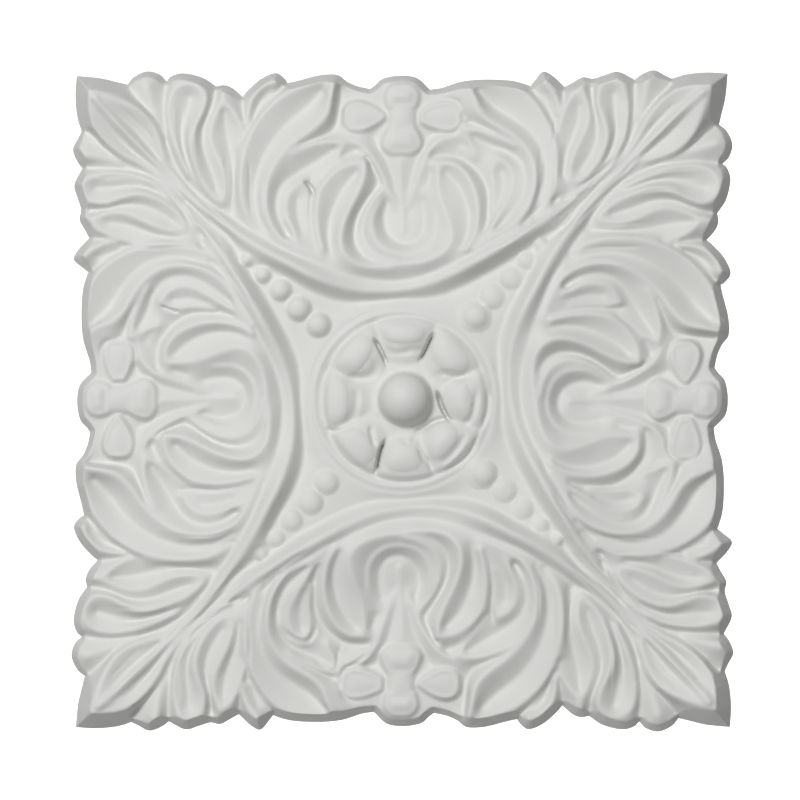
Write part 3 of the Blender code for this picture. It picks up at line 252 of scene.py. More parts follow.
# Gouged grooves, creases and floors: half width, then (x, y, z) stations.
GROOVES = (
    # foot of the step down from the arc to the centre panel
    (1.2, ((-47, 44.6, 10.8), (-38.8, 40.6, 10.5), (-31, 36.1, 9.9), (-21.9, 33.0, 9.1),
           (-12.6, 32.6, 8.8), (-2, 33.5, 9.0), (9.4, 34.0, 8.9), (19.2, 37.0, 9.0),
           (27.3, 41.0, 9.5), (35.3, 45.5, 10.1), (43.3, 50.6, 10.3), (51.2, 56.2, 9.7),
           (59, 62.4, 8.9), (66.2, 70.2, 8.2))),
    # outside the arc
    (0.5, ((-57.2, 61.6, 9.0), (-50.5, 57.0, 10.9), (-45, 53.7, 11.9), (-39.5, 50.4, 12.6),
           (-30, 46.4, 12.9), (-20, 42.8, 12.3), (-10, 40.6, 10.9), (0, 40.2, 10.5),
           (10, 42.6, 11.2), (20, 47.2, 12.7), (30, 52.9, 13.5), (39, 58.5, 12.6), (46, 63.8, 10.8),
           (52.4, 67.6, 9.2))),
    # floors of the left scroll
    (1.2, ((-27.5, 104.2, 7.0), (-32.5, 99.3, 6.0), (-38.4, 94.6, 6.6), (-43.8, 88.2, 8.0),
           (-47.8, 80.4, 9.1), (-49.8, 71.5, 9.9), (-48.9, 63, 10.8), (-45.6, 57.0, 11.6))),
    (0.4, ((-21.2, 106.4, 5.4), (-21.7, 100.5, 5.2), (-22.0, 95.4, 5.4), (-23.4, 91.4, 6.0),
           (-28, 88.8, 7.4), (-34, 86.6, 8.6))),
    (1.0, ((-22.8, 84.8, 7.4), (-28, 81.4, 6.9), (-34.2, 77.6, 7.4), (-40, 73, 8.9),
           (-42.2, 67, 10.1), (-41.2, 61, 11.1), (-38.3, 55.8, 10.8))),
    (0.6, ((-35.2, 68.0, 9.5), (-35.2, 62.5, 10.4), (-33.4, 56.0, 11.8))),
    (0.3, ((-31.0, 74.6, 7.9), (-30.8, 69.5, 8.2), (-30.6, 63.0, 10.0), (-29.6, 56, 11.7),
           (-28.3, 51.4, 12.6))),
    (0.9, ((-15.4, 76.6, 8.2), (-19.4, 72.2, 8.4), (-22.4, 66.5, 9.0), (-24.3, 60.5, 9.8),
           (-24.6, 54.4, 11.1), (-23.6, 49.8, 12.4))),
    # floors of the right scroll
    (1.2, ((26.4, 104.6, 7.2), (31.5, 99.8, 6.2), (38, 95.6, 6.8), (43.6, 91, 8.0), (47.3, 85, 9.1),
           (48.7, 78, 10.0), (47.6, 71, 10.7), (45.0, 65, 11.5), (41.4, 60.0, 12.3))),
    (0.3, ((22.6, 94.2, 6.8), (27, 92.8, 7.8), (33.4, 90.8, 9.0))),
    (1.0, ((24.8, 88.8, 7.5), (30, 86.2, 7.3), (35.6, 84.3, 7.9), (40, 80.6, 8.9),
           (41.7, 75.4, 10.1), (40.8, 70, 11.0), (38.2, 65, 11.8), (34.8, 60.6, 12.2),
           (32.4, 57.6, 12.4))),
    (0.6, ((33.8, 77.4, 8.7), (34.3, 72, 9.5), (32.6, 65, 11.0))),
    (0.5, ((10.5, 82.8, 6.9), (15, 82.8, 6.7), (20, 81.8, 6.7), (25, 78, 7.2), (28.6, 73, 8.0),
           (29.8, 68, 9.0), (29.6, 62, 10.4), (28.2, 56.6, 12.2))),
    (0.9, ((15.2, 76.8, 8.0), (18.4, 73.6, 8.3), (21.2, 68.6, 9.1), (22.6, 63, 10.1),
           (22.5, 57.6, 11.4), (20.6, 52.2, 12.9))),
    # round the horseshoe and round the tongue in it
    (0.6, ((-7.2, 75.0, 6.0), (-8.6, 71.6, 6.3), (-11.4, 67.6, 7.0), (-14.4, 62.4, 7.9),
           (-15.8, 57.2, 9.0), (-15.4, 52.4, 10.2), (-13.0, 48.8, 11.2), (-9.4, 46.6, 12.0))),
    (1.0, ((-4.0, 67.6, 6.2), (-5.5, 64.2, 6.2), (-5.7, 60.6, 6.4), (-4.7, 57.0, 7.1),
           (-2.4, 54.4, 8.0), (1.0, 53.2, 8.4), (4.6, 54.2, 8.6), (7.0, 57.6, 8.0), (7.4, 62, 7.3),
           (6.6, 67, 6.8))),
    # between the stems
    (0.4, ((-2.2, 71, 6.8), (-3.6, 77, 6.6), (-6.2, 83, 6.4), (-9.6, 89.6, 5.6))),
    (0.4, ((2.2, 71, 6.8), (3.8, 77, 6.7), (5.6, 83, 6.6), (8.6, 88.8, 6.0), (11.5, 90.3, 5.9))),
    (0.6, ((-7.2, 75.0, 6.0), (-9.2, 78.4, 6.3), (-11.4, 82.0, 6.6))),
    (0.8, ((8.6, 73.4, 7.2), (9.8, 77.0, 7.4))),
    (1.0, ((-15.4, 84.6, 6.8), (-19.6, 83.0, 7.6))),
    (1.0, ((19.8, 86.4, 7.2), (23.0, 84.8, 7.6))),
    # corner leaf, middle lobe
    (0.8, ((-98.6, 98.8, 12.3), (-95, 95.9, 10.7), (-90, 91, 8.8), (-86, 86, 8.1),
           (-82.9, 81.6, 7.6))),
    (0.8, ((-101.6, 96.4, 12.0), (-98.8, 92.4, 10.5), (-94, 87.4, 8.7), (-89.4, 82.8, 8.1),
           (-84, 78.2, 7.7), (-78, 71.8, 7.6), (-73, 66.8, 7.9), (-67.6, 61.6, 8.6),
           (-62, 56.2, 9.8), (-57.4, 51.7, 11.0))),
    (0.4, ((-92.8, 106.6, 5.4), (-90.6, 103.2, 6.9), (-87.6, 99.9, 7.4), (-84.4, 96.2, 7.4),
           (-81.4, 91, 7.2), (-79.9, 86, 7.2))),
    (0.4, ((-80.3, 107.4, 5.4), (-80.4, 101, 6.9), (-80.2, 95, 7.1), (-79.7, 88, 7.1),
           (-77.9, 82.5, 7.2), (-75.2, 77.6, 7.4), (-71.8, 73.0, 7.7), (-67, 68.6, 8.2),
           (-62.6, 65.0, 8.4), (-58.0, 62.2, 8.5))),
    (1.0, ((-71.9, 103.0, 6.8), (-73.4, 97, 7.1), (-74.5, 91, 7.7), (-73.9, 85.6, 8.2),
           (-72.2, 80, 8.5), (-69.8, 75, 8.8))),
    (0.4, ((-63.3, 105.8, 5.2), (-64.3, 101, 6.8), (-66.6, 95.6, 7.4), (-67.7, 90, 7.9),
           (-67.2, 85, 8.2), (-65.4, 79.8, 8.3), (-63.6, 75, 8.4), (-62.8, 71, 8.7))),
    (0.9, ((-60.0, 97.4, 7.5), (-59.6, 92, 7.1), (-58.4, 86, 7.4), (-57.0, 80, 8.2),
           (-56.8, 74, 8.8), (-57.2, 68, 8.7), (-57.3, 63.8, 8.5))),
    (0.4, ((-54.3, 102.6, 5.2), (-53.7, 98, 6.8), (-53.0, 92.5, 7.5))),
    (0.8, ((-44.6, 104.8, 6.9), (-47.9, 101, 6.3), (-50.0, 96, 6.9))),
    (0.4, ((-40.0, 106.8, 5.4), (-44, 102.6, 6.8), (-48.6, 97.4, 7.2), (-51.6, 91.6, 7.8))),
    # corner leaf, other edge
    (0.4, ((91.6, 107.4, 5.4), (88.6, 102.8, 7.0), (84.8, 99.6, 7.4), (81.0, 94.6, 7.4),
           (78.2, 88.6, 7.3), (74.6, 82.6, 7.4), (70, 77.2, 7.7), (66.0, 72.6, 8.3),
           (60.0, 69.4, 8.7), (55.0, 67.4, 8.8))),
    (0.4, ((79.2, 107.6, 5.4), (78.8, 101, 7.0), (78.2, 94, 7.3), (77.2, 88, 7.3))),
    (1.0, ((72.0, 103.6, 7.4), (72.2, 97, 7.7), (73.0, 91, 8.0), (71.8, 85.6, 8.3), (69, 81, 8.6))),
    (0.4, ((64.5, 106.0, 5.6), (65.0, 100.4, 7.0), (66.2, 94.4, 7.9), (66.2, 88.8, 8.4),
           (64.6, 84, 8.6), (62.2, 80, 8.8), (60.2, 77.4, 9.0))),
    (0.9, ((60.2, 99.6, 7.8), (59.6, 94, 7.7), (57.8, 88.4, 8.0), (55.8, 83, 8.7),
           (54.8, 76, 9.5))),
    (0.4, ((54.9, 105.6, 5.4), (54.6, 101.6, 6.8), (53.0, 95.6, 7.6), (51.6, 91.6, 8.0))),
    (0.8, ((48.3, 103.2, 6.8), (49.6, 99.2, 6.9), (50.9, 95, 7.5))),
    (0.4, ((43.6, 106.0, 5.4), (46.4, 102.0, 6.8), (49.2, 97.4, 7.3))),
)

# Foot of the side at the back, from the corner leaf's tip round one side.
FOOT = (
    (-111.0, 110.8), (-103, 110.0), (-97, 108.6), (-93.6, 107.8), None,
    (-91.5, 110.3), (-87.0, 112.3), (-82.6, 111.2), (-80.3, 108.9), None,
    (-78.6, 110.6), (-74.5, 111.6), (-68, 110.1), (-63.4, 107.1), None,
    (-60.5, 107.5), (-57.5, 106.3), (-54.3, 103.5), None,
    (-52.6, 105.6), (-48, 109.6), (-43, 111.6), (-39.9, 109.6), (-39.1, 108.2), None,
    (-35.7, 108.9), (-28, 110.8), (-22, 110.9), (-18.7, 108.6), (-15, 107.0), (-10.9, 106.1), None,
    (-9.2, 107.3), (-6.4, 109.6), (-0.5, 110.6), (5.2, 109.7), (9.5, 105.8), None,
    (13.6, 106.4), (20.4, 108.5), (28, 109.2), (37, 108.8), (42.5, 107.4), (43.6, 106.8), None,
    (45.2, 108.8), (48, 111.8), (51.4, 110.3), (55.3, 106.6), None,
    (57.8, 107.9), (61.6, 109.9), (65.0, 109.4), (69, 110.6), (73.6, 111.7), (79.2, 109.0), None,
    (81.6, 110.8), (85.7, 112.2), (89.5, 110.4), (91.8, 109.3), None,
    (97, 110.8), (104, 111.4), (110.8, 111.0),
)

# Fine strands along the stems and flutes in the lobes, the same in the four quarters:
# half width, height (less than nothing is a groove), then (x, y) stations.
STRANDS = (
    (1.1, -0.55, ((-75.4, 76.4), (-73.0, 73.4), (-70.0, 70.0), (-66.4, 66.2), (-61.5, 61.4),
                  (-57.0, 58.0))),
    (1.0, 0.34, ((-77.4, 74.0), (-72.4, 68.6), (-68.2, 64.2), (-64.8, 60.4), (-61.2, 56.8),
                 (-57.2, 52.4))),
    (1.1, -0.50, ((-76.6, 70.4), (-74.0, 66.0), (-70.2, 62.2), (-67.0, 59.2), (-62.4, 54.2),
                  (-58.8, 49.8))),
    (0.9, 0.38, ((-82.0, 74.2), (-77.4, 70.0), (-72.8, 65.2), (-70.2, 60.6), (-68.4, 55.4),
                 (-65.2, 50.8))),
    (1.0, -0.42, ((-84.6, 72.6), (-81.0, 71.2), (-77.6, 68.2), (-73.8, 63.2), (-71.6, 59.0))),
    (0.9, -0.29, ((-82.4, 80.6), (-79.4, 77.4), (-76.4, 74.8))),
    (0.9, 0.29, ((-80.4, 80.0), (-76.4, 76.2), (-73.4, 72.4))),
    (1.0, -0.34, ((-100.6, 93.6), (-98.4, 90.6), (-94.2, 86.4), (-90.4, 83.4))),
    (0.9, 0.29, ((-98.0, 95.4), (-93.6, 91.2), (-89.0, 86.6), (-85.6, 83.0))),
    (1.0, -0.29, ((-94.4, 98.6), (-90.6, 95.0), (-86.8, 91.4), (-83.8, 87.6))),
    (1.0, -0.34, ((-103.0, 75.4), (-97.0, 75.8), (-91.4, 75.4), (-86.6, 74.2))),
    (0.9, 0.25, ((-102.4, 73.6), (-96.0, 73.9), (-90.0, 73.4), (-84.8, 71.8))),
    (1.0, -0.29, ((-74.8, 101.0), (-74.9, 95.0), (-74.7, 88.6), (-73.6, 82.6), (-71.6, 77.8))),
    (0.9, 0.25, ((-77.0, 102.4), (-76.9, 95.6), (-76.2, 88.6), (-74.4, 82.4))),
    (1.0, -0.34, ((-70.4, 99.4), (-70.6, 93.0), (-70.8, 87.0), (-69.8, 81.0))),
    (1.0, -0.38, ((-60.0, 84.0), (-59.2, 77.0), (-58.8, 70.0), (-59.6, 66.4))),
    (0.9, 0.29, ((-57.6, 84.0), (-56.4, 77.0), (-56.2, 70.0), (-57.4, 64.6))),
    (1.0, -0.34, ((-51.6, 82.0), (-51.4, 75.0), (-51.4, 68.0), (-50.4, 61.6))),
    (0.9, -0.29, ((-45.8, 78.0), (-46.4, 70.0), (-46.0, 62.6), (-43.8, 57.0))),
    (1.0, -0.29, ((-98.0, 52.6), (-90.0, 51.6), (-82.0, 51.2), (-74.0, 51.8), (-67.8, 50.2))),
    (1.0, -0.29, ((-86.0, 47.4), (-78.0, 46.6), (-70.6, 46.6), (-63.8, 44.0))),
    (0.9, -0.38, ((-60.4, 45.6), (-57.0, 40.6), (-53.8, 36.0), (-51.0, 31.0))),
    (0.9, 0.29, ((-59.0, 46.4), (-55.4, 41.4), (-52.2, 36.8), (-49.6, 31.8))),
)
# Short hooked cuts in two of the scrolls.
HOOKS = (
    (1.1, -2.6, ((-32.8, 74.2), (-31.4, 72.6), (-30.2, 70.9), (-29.8, 69.0))),
    (1.0, -1.4, ((-81.4, 31.8), (-79.6, 30.8), (-77.2, 30.0), (-75.4, 29.8))),
)
# Four slits between the petals of the middle flower.
SLITS = (
    (1.0, -3.8, ((11.2, 22.4), (9.9, 20.2), (8.6, 17.4), (7.2, 14.8), (6.0, 12.6))),
    (1.0, -3.8, ((-9.2, 20.6), (-7.4, 17.4), (-5.9, 14.2), (-4.8, 11.6))),
    (1.0, -4.4, ((-5.2, -13.6), (-6.7, -16.4), (-7.5, -19.4), (-8.0, -22.2), (-8.6, -25.0))),
    (1.1, -4.4, ((12.2, 2.6), (13.0, -0.6), (14.2, -3.6), (15.6, -6.0), (17.0, -7.6))),
)
# Hollows between and round the petals.
HOLLOWS = (
    (1.4, -1.8, ((16.4, -6.8), (13.0, -7.0), (10.0, -8.2), (7.0, -10.0), (4.6, -11.4))),
    (2.4, -1.1, ((-19.0, 6.4), (-14.0, 7.2), (-9.4, 9.0), (-8.6, 13.2))),
    (2.2, -0.9, ((-15.6, 4.0), (-15.2, 0.0), (-15.8, -4.0), (-18.0, -8.6))),
    (1.2, -1.0, ((-14.6, -8.6), (-18.4, -10.2), (-22.6, -10.8), (-25.6, -10.0))),
    (2.2, -0.9, ((0.8, 15.8), (4.0, 16.6), (7.4, 16.2))),
    (1.8, -0.6, ((-4.4, 16.6), (-2.2, 15.6), (0.8, 15.8))),
    (2.0, -0.9, ((11.4, 8.0), (15.6, 8.6), (20.0, 7.4), (25.0, 8.0))),
    (1.4, -1.0, ((29.0, 3.4), (29.5, -0.6), (28.9, -5.0), (27.4, -9.6))),
    (1.6, -0.9, ((25.4, 3.0), (25.0, -2.0), (23.6, -6.6), (20.4, -9.2))),
    (1.2, -1.4, ((25.8, -13.0), (23.6, -17.8), (20.0, -21.6), (15.2, -24.4))),
    (1.8, -0.8, ((21.6, -11.4), (19.6, -15.6), (16.0, -19.8), (12.4, -22.2))),
    (1.6, -1.2, ((-10.4, -9.4), (-9.8, -12.4), (-9.0, -15.6))),
    (1.4, -0.9, ((5.8, -16.4), (7.2, -19.8), (9.2, -21.6), (10.6, -24.8))),
    (1.4, -0.5, ((0.4, -12.8), (1.6, -14.8), (3.4, -15.0), (4.8, -13.0))),
)
# Creases cut deeper into the bottom scroll than into its three neighbours.
CREASES = (
    (2.2, -1.3, ((-35.0, -58.0), (-39.3, -63.4), (-41.8, -69.0), (-42.2, -75.2))),
    (1.5, -0.9, ((-40.2, -77.4), (-37.4, -80.0), (-34.0, -81.6), (-31.2, -81.2), (-29.5, -78.4),
                 (-29.4, -75.4))),
    (1.4, -0.8, ((-21.0, -83.4), (-21.5, -87.6), (-21.9, -91.4))),
    (1.3, -0.6, ((-29.4, -88.2), (-25.6, -90.8), (-21.8, -92.0))),
    (1.3, -0.7, ((-19.8, -91.6), (-15.2, -88.8), (-11.0, -85.6))),
)
# Swellings of the petals: x, y, half length, half breadth, lean in degrees, height.
PUFFS = (
    (1.0, 22.2, 7.0, 3.5, 0, 1.1),
    (-15.8, 14.8, 7.6, 4.6, 52, 1.2),
    (-21.8, -0.8, 8.2, 4.2, 88, 1.1),
    (-15.6, -15.8, 7.4, 5.4, -46, 1.0),
    (0.6, -18.8, 6.8, 5.8, 0, 1.1),
    (12.6, -13.8, 7.2, 5.2, 46, 1.2),
    (18.8, -0.8, 6.8, 5.0, 90, 1.0),
    (16.4, 14.4, 7.6, 5.2, -48, 1.1),
)
# Lumps that widen two of the beads, given the same way.
LUMPS = (
    (25.2, 28.0, 5.4, 5.4, 0, 1.3),
    (27.2, -25.2, 5.3, 5.3, 0, 1.3),
)


def smooth_line(stations, spacing=LINE_SPACING):
    """Points of a smooth line through the stations."""
    p = np.array(stations, dtype=float)
    ends = np.vstack((2 * p[0] - p[1], p, 2 * p[-1] - p[-2]))
    points = []
    for i in range(len(p) - 1):
        a, b, c, d = ends[i:i + 4]
        count = max(2, int(np.linalg.norm((c - b)[:2]) / spacing))
        t = np.linspace(0, 1, count, endpoint=False)[:, None]
        bend = (2 * a - 5 * b + 4 * c - d) * t * t + (3 * b - a - 3 * c + d) * t ** 3
        points.append(b + 0.5 * ((c - a) * t + bend))
    points.append(p[-1:])
    return np.vstack(points)


def stamp(line, width, crown, grid, known, height, highest):
    """Fix the heights of a band along a line, its section bent by the crown."""
    reach = max(width, LEAST_REACH * (grid[1] - grid[0]))
    points = smooth_line(line)
    low = points.min(axis=0) - reach
    high = points.max(axis=0) + reach
    i0, i1 = np.searchsorted(grid, (low[0], high[0]))
    j0, j1 = np.searchsorted(grid, (low[1], high[1]))
    gx, gy = np.meshgrid(grid[i0:i1], grid[j0:j1])
    best = np.full(gx.shape, FAR)
    z = np.zeros(gx.shape)
    for x, y, h in points:
        d = (gx - x) ** 2 + (gy - y) ** 2
        nearer = d < best
        best[nearer] = d[nearer]
        z[nearer] = h
    inside = best <= reach ** 2
    z = z - crown * best / reach ** 2
    old = height[j0:j1, i0:i1]
    seen = known[j0:j1, i0:i1]
    wins = z > old if highest else z < old
    take = inside & (~seen | wins)
    old[take] = z[take]
    seen |= inside


def four_turns(known, height, pick):
    """Merge the four quarter turns of a map."""
    all_known = known.copy()
    all_height = height.copy()
    for turn in (1, 2, 3):
        k = np.rot90(known, turn)
        h = np.rot90(height, turn)
        merged = np.where(k, h, all_height)
        all_height = np.where(all_known & k, pick(all_height, h), merged)
        all_known |= k
    return all_known, all_height


def block_sums(values, factor):
    """Sums of a square map over blocks of cells, the blocks centred on every nth point."""
    n = values.shape[0]
    m = (n - 1) // factor + 1
    size = m * factor
    shift = factor // 2
    padded = np.zeros((size, size))
    padded[shift:shift + n, shift:shift + n] = values[:size - shift, :size - shift]
    return padded.reshape(m, factor, m, factor).sum(axis=(1, 3))


def enlarge(z, m):
    """A square map drawn again with m points a side."""
    s = np.linspace(0, z.shape[0] - 1, m)
    k = np.minimum(s.astype(int), z.shape[0] - 2)
    f = s - k
    rows = z[k] * (1 - f)[:, None] + z[k + 1] * f[:, None]
    return rows[:, k] * (1 - f) + rows[:, k + 1] * f


def stretch_skin(known, height):
    """Stretch a skin over the fixed heights, from a coarse map to the fine one."""
    z = None
    for factor, rounds in SKIN_ROUNDS:
        hits = block_sums(known, factor)
        sums = block_sums(np.where(known, height, 0), factor)
        fixed = hits > 0
        level = sums / np.maximum(hits, 1)
        z = np.full(hits.shape, SKIN_START) if z is None else enlarge(z, hits.shape[0])
        z = np.where(fixed, level, z)
        for _ in range(rounds):
            p = np.pad(z, 1, mode="edge")
            mean = (p[:-2, 1:-1] + p[2:, 1:-1] + p[1:-1, :-2] + p[1:-1, 2:]) / 4
            z = np.where(fixed, level, mean)
    return z


def soften(z, sigma):
    """Round a map over with a bell of the given width in cells."""
    reach = int(np.ceil(3 * sigma))
    w = np.exp(-0.5 * (np.arange(-reach, reach + 1) / sigma) ** 2)
    w /= w.sum()
    n = z.shape[0]
    p = np.pad(z, reach, mode="edge")
    rows = sum(w[i] * p[i:i + n, :] for i in range(2 * reach + 1))
    return sum(w[i] * rows[:, i:i + n] for i in range(2 * reach + 1))


def side_foot():
    """Foot line of one side, left corner to right corner."""
    runs = [[]]
    for station in FOOT:
        if station is None:
            runs.append([runs[-1][-1]])
        else:
            runs[-1].append(station)
    lines = [smooth_line([(x, y, 0) for x, y in run], FOOT_SPACING)[:-1, :2] for run in runs]
    return np.vstack(lines + [np.array([FOOT[-1]])])


def quarter_turn(points, turn):
    """Points turned clockwise by quarters."""
    c, s = ((1, 0), (0, -1), (-1, 0), (0, 1))[turn % 4]
    return points @ np.array(((c, s), (-s, c)))


def depth_inside(grid, loop, reach):
    """Distance from the foot line, positive inside it, up to the reach."""
    gx, gy = np.meshgrid(grid, grid)
    inside = np.zeros(gx.shape, dtype=bool)
    best = np.full(gx.shape, reach * reach)
    for (x0, y0), (x1, y1) in zip(loop, np.roll(loop, -1, axis=0)):
        if y0 != y1:
            j0, j1 = np.searchsorted(grid, (min(y0, y1), max(y0, y1)))
            y = gy[j0:j1]
            inside[j0:j1] ^= gx[j0:j1] < x0 + (y - y0) * (x1 - x0) / (y1 - y0)
        ex, ey = x1 - x0, y1 - y0
        length = ex * ex + ey * ey
        if length < NO_LENGTH:
            continue
        i0, i1 = np.searchsorted(grid, (min(x0, x1) - reach, max(x0, x1) + reach))
        j0, j1 = np.searchsorted(grid, (min(y0, y1) - reach, max(y0, y1) + reach))
        sx, sy = gx[j0:j1, i0:i1], gy[j0:j1, i0:i1]
        t = np.clip(((sx - x0) * ex + (sy - y0) * ey) / length, 0, 1)
        d = (sx - x0 - t * ex) ** 2 + (sy - y0 - t * ey) ** 2
        best[j0:j1, i0:i1] = np.minimum(best[j0:j1, i0:i1], d)
    return np.where(inside, 1, -1) * np.sqrt(best)


def bell(distance, half):
    """A rise of 1 that dies away over the half width."""
    return np.exp(-(distance / half) ** 2)


def petals_of_middle(fx, fy, root, tip):
    """Heights of the eight uneven petals between the boss and their tips."""
    r = np.hypot(fx, fy)
    crest = root + 0.5 * (tip - root)
    half = np.pi / PETAL_COUNT
    turn = np.arctan2(fy, fx) + half
    across = (turn % (2 * half) - half) / half
    index = np.floor(turn / (2 * half)).astype(int) % PETAL_COUNT
    rise = np.resize(PETAL_RISES, PETAL_COUNT)[index]
    lean = np.resize(PETAL_LEANS, PETAL_COUNT)[index]
    side = np.abs(across + lean * (1 - across ** 2))
    start = root + 0.8 + 2.2 * side ** 2
    inner = np.clip((r - start) / (crest - root), 0, 1)
    outer = np.clip((r - crest) / (tip - crest), 0, 1)
    length = np.sin(np.pi / 2 * inner) * (1 - 0.45 * outer ** 2.2)
    puff = 1 - side ** (3.4 + 2.6 * outer)
    body = PETAL_FLOOR + rise * length * (0.2 + 0.8 * puff)
    body = body - TIP_DROP * np.clip((r - tip + TIP_ROUND) / TIP_ROUND, 0, 1) ** 2
    return np.maximum(body, TIP_FLOOR - 0.6 * bell(r - tip - 0.7, 0.8)), across


def middle_flower(gx, gy):
    """Boss, petals and rings of the middle: where they are, and their heights."""
    boss = BOSS_RADIUS / PLAN
    boss_top = BOSS_HEIGHT / RISE
    tip = FLOWER_RADIUS / PLAN
    root = boss + BOSS_GAP
    around = np.hypot(gx, gy)
    fx = gx - FLOWER_CENTRE[0]
    fy = gy - FLOWER_CENTRE[1]
    r = np.hypot(fx, fy)
    body, across = petals_of_middle(fx, fy, root, tip)
    ring = RING_FLOOR + RING_RISE * bell(around - RING_RADIUS / PLAN, 0.9)
    ring = ring + OUTER_RING_RISE * bell(around - OUTER_RING_RADIUS / PLAN, 0.7)
    petal = np.maximum(body, np.where(around > tip + 0.5, ring, 0))
    z = np.where(r < tip + 0.9, petal, ring)
    z = np.where(r < root, PETAL_FLOOR + 0.3 * across ** 2, z)
    ball = np.sqrt(np.clip(1 - (r / boss) ** 2, 0, 1))
    dome = BOSS_FOOT + (boss_top - BOSS_FOOT) * ball
    z = np.where(r < boss, np.maximum(dome, z), z)
    return around < OUTER_RING_RADIUS / PLAN + MIDDLE_MARGIN, z


def side_flower(gx, gy):
    """Small flower: four petals with raised borders, held by a waist between them.
    Gives its heights, and how far inside its outline each point lies."""
    z = np.zeros(gx.shape)
    within = np.full(gx.shape, FAR_OUTSIDE)
    dx = gx - SIDE_FLOWER[0]
    dy = gy - SIDE_FLOWER[1]
    for direction, root, reach, narrow, broad, top, dome, square in SIDE_PETALS:
        c, s = np.cos(np.radians(direction)), np.sin(np.radians(direction))
        along = (dx * c + dy * s - root) / (reach - root)
        across = np.abs(dy * c - dx * s)
        fan = narrow + (broad - narrow) * np.sin(np.pi / 2 * np.clip(along / 0.7, 0, 1))
        blunt = (1 - np.clip((along - square) / (1 - square), 0, 1) ** 2.6) ** 0.45
        ends = (reach - root) * np.minimum(1 - along, along)
        edge = np.minimum(fan * blunt - across, ends)
        border = np.exp(-((edge - BORDER_INSET) / BORDER_HALF) ** 4)
        petal = top - BORDER_RISE + BORDER_RISE * border - 1.8 * np.clip(0.7 - edge, 0, 1)
        middle = np.sin(np.pi / 2 * np.clip((edge - 1.4) / 3.6, 0, 1))
        petal = petal + (0.45 + dome) * middle
        z = np.where(edge > 0, np.maximum(z, petal), z)
        reached = (along > -0.3) & (along < 1.3)
        within = np.where(reached, np.maximum(within, edge), within)
    waist = np.minimum(WAIST_HALF_LENGTH - np.abs(dx), WAIST_HALF_HEIGHT - np.abs(dy))
    pad = WAIST_TOP - 1.2 * np.clip(0.8 - waist, 0, 1) - 0.05 * dx * dx
    return np.where(waist > 0, np.maximum(z, pad), z), np.maximum(within, waist)


def set_beads(gx, gy, z):
    """Set the beads of the four diagonals in the face, each with a gutter round it."""
    for turn in range(4):
        for bead in BEADS:
            x, y = quarter_turn(np.array([bead[:2]]), turn)[0]
            radius = bead[2]
            d = np.hypot(gx - x, gy - y)
            level = np.median(z[(d > 0.95 * radius) & (d < 1.2 * radius)])
            rise = BEAD_RISES[turn] * radius
            ball = np.sqrt(np.clip(1 - (d / radius) ** 2.4, 0, 1))
            dome = level - 0.05 * radius + rise * ball
            gutter = z - BEAD_GUTTER * bell(d - radius - 0.2, 0.5)
            z = np.where(d < radius + 0.8, gutter, z)
            z = np.where(d < radius, np.maximum(dome, z), z)
    return z


def set_side_flowers(gx, gy, z):
    """Set a small flower in each side, with a moat round it."""
    flower, within = side_flower(gx, gy)
    moat = MOAT_FLOOR + 1.6 * np.clip(-0.5 - within, 0, 3) + FAR_ABOVE * (within < -2.5)
    for turn in range(4):
        turned = np.rot90(flower, turn)
        z = np.minimum(z, np.rot90(moat, turn))
        z = np.where(turned > 0, np.maximum(z, turned), z)
    return z


def lean_walls(z, depth):
    """Bring the edge of the face down to leaning side walls, rounded where they meet."""
    edge = EDGE_HEIGHT / RISE
    wall = edge + DRAFT_SLOPE * np.maximum(depth, 0) + FAR_ABOVE * (depth > WALL_REACH - 0.1)
    h = np.clip(0.5 + 0.5 * (wall - z) / LIP, 0, 1)
    z = wall * (1 - h) + z * h - LIP * h * (1 - h)
    return np.where(depth <= 0, edge, z)


def carve():
    """Heights of the carved face in drawing units, over a square grid."""
    count = int(round(2 * HALF_SPAN / STEP)) + 1
    grid = np.linspace(-HALF_SPAN, HALF_SPAN, count)
    gx, gy = np.meshgrid(grid, grid)
    low_known = np.zeros((count, count), dtype=bool)
    low = np.zeros((count, count))
    for width, line in GROOVES:
        stamp(line, width, -GROOVE_DISH * width, grid, low_known, low, False)
    high_known = np.zeros((count, count), dtype=bool)
    high = np.zeros((count, count))
    for width, line in CRESTS:
        stamp(line, CREST_SPREAD * width, CREST_CROWN * width, grid, high_known, high, True)
    low_known, low = four_turns(low_known, low, np.minimum)
    high_known, high = four_turns(high_known, high, np.maximum)
    middle, flower = middle_flower(gx, gy)
    known = low_known | high_known | middle
    height = np.where(high_known, high, low)
    height = np.where(middle, np.where(high_known, np.maximum(flower, high), flower), height)
    side = side_foot()
    loop = np.vstack([quarter_turn(side, turn)[:-1] for turn in range(4)])
    depth = depth_inside(grid, loop, WALL_REACH)
    beyond = depth < -1.0
    z = stretch_skin(known | beyond, np.where(beyond, RIM_HEIGHT, height))
    past_ring = np.hypot(gx, gy) - OUTER_RING_RADIUS / PLAN - MIDDLE_MARGIN
    deeper = (CARVING_DEPTH - 1) * np.clip(past_ring / RING_BLEND, 0, 1)
    z = z + deeper * (z - soften(z, MEAN_OVER / STEP))
    z = set_beads(gx, gy, z)
    z = set_side_flowers(gx, gy, z)
    z = soften(z, SOFTNESS / STEP)
    z = fine_work(grid, z)
    return grid, lean_walls(z, depth), side


def sample(grid, z, x, y):
    """Height between the points of the map."""
    last = len(grid) - 2
    u = (x - grid[0]) / (grid[1] - grid[0])
    v = (y - grid[0]) / (grid[1] - grid[0])
    i = np.clip(u.astype(int), 0, last)
    j = np.clip(v.astype(int), 0, last)
    u = u - i
    v = v - j
    near = z[j, i] * (1 - u) + z[j, i + 1] * u
    far = z[j + 1, i] * (1 - u) + z[j + 1, i + 1] * u
    return near * (1 - v) + far * v


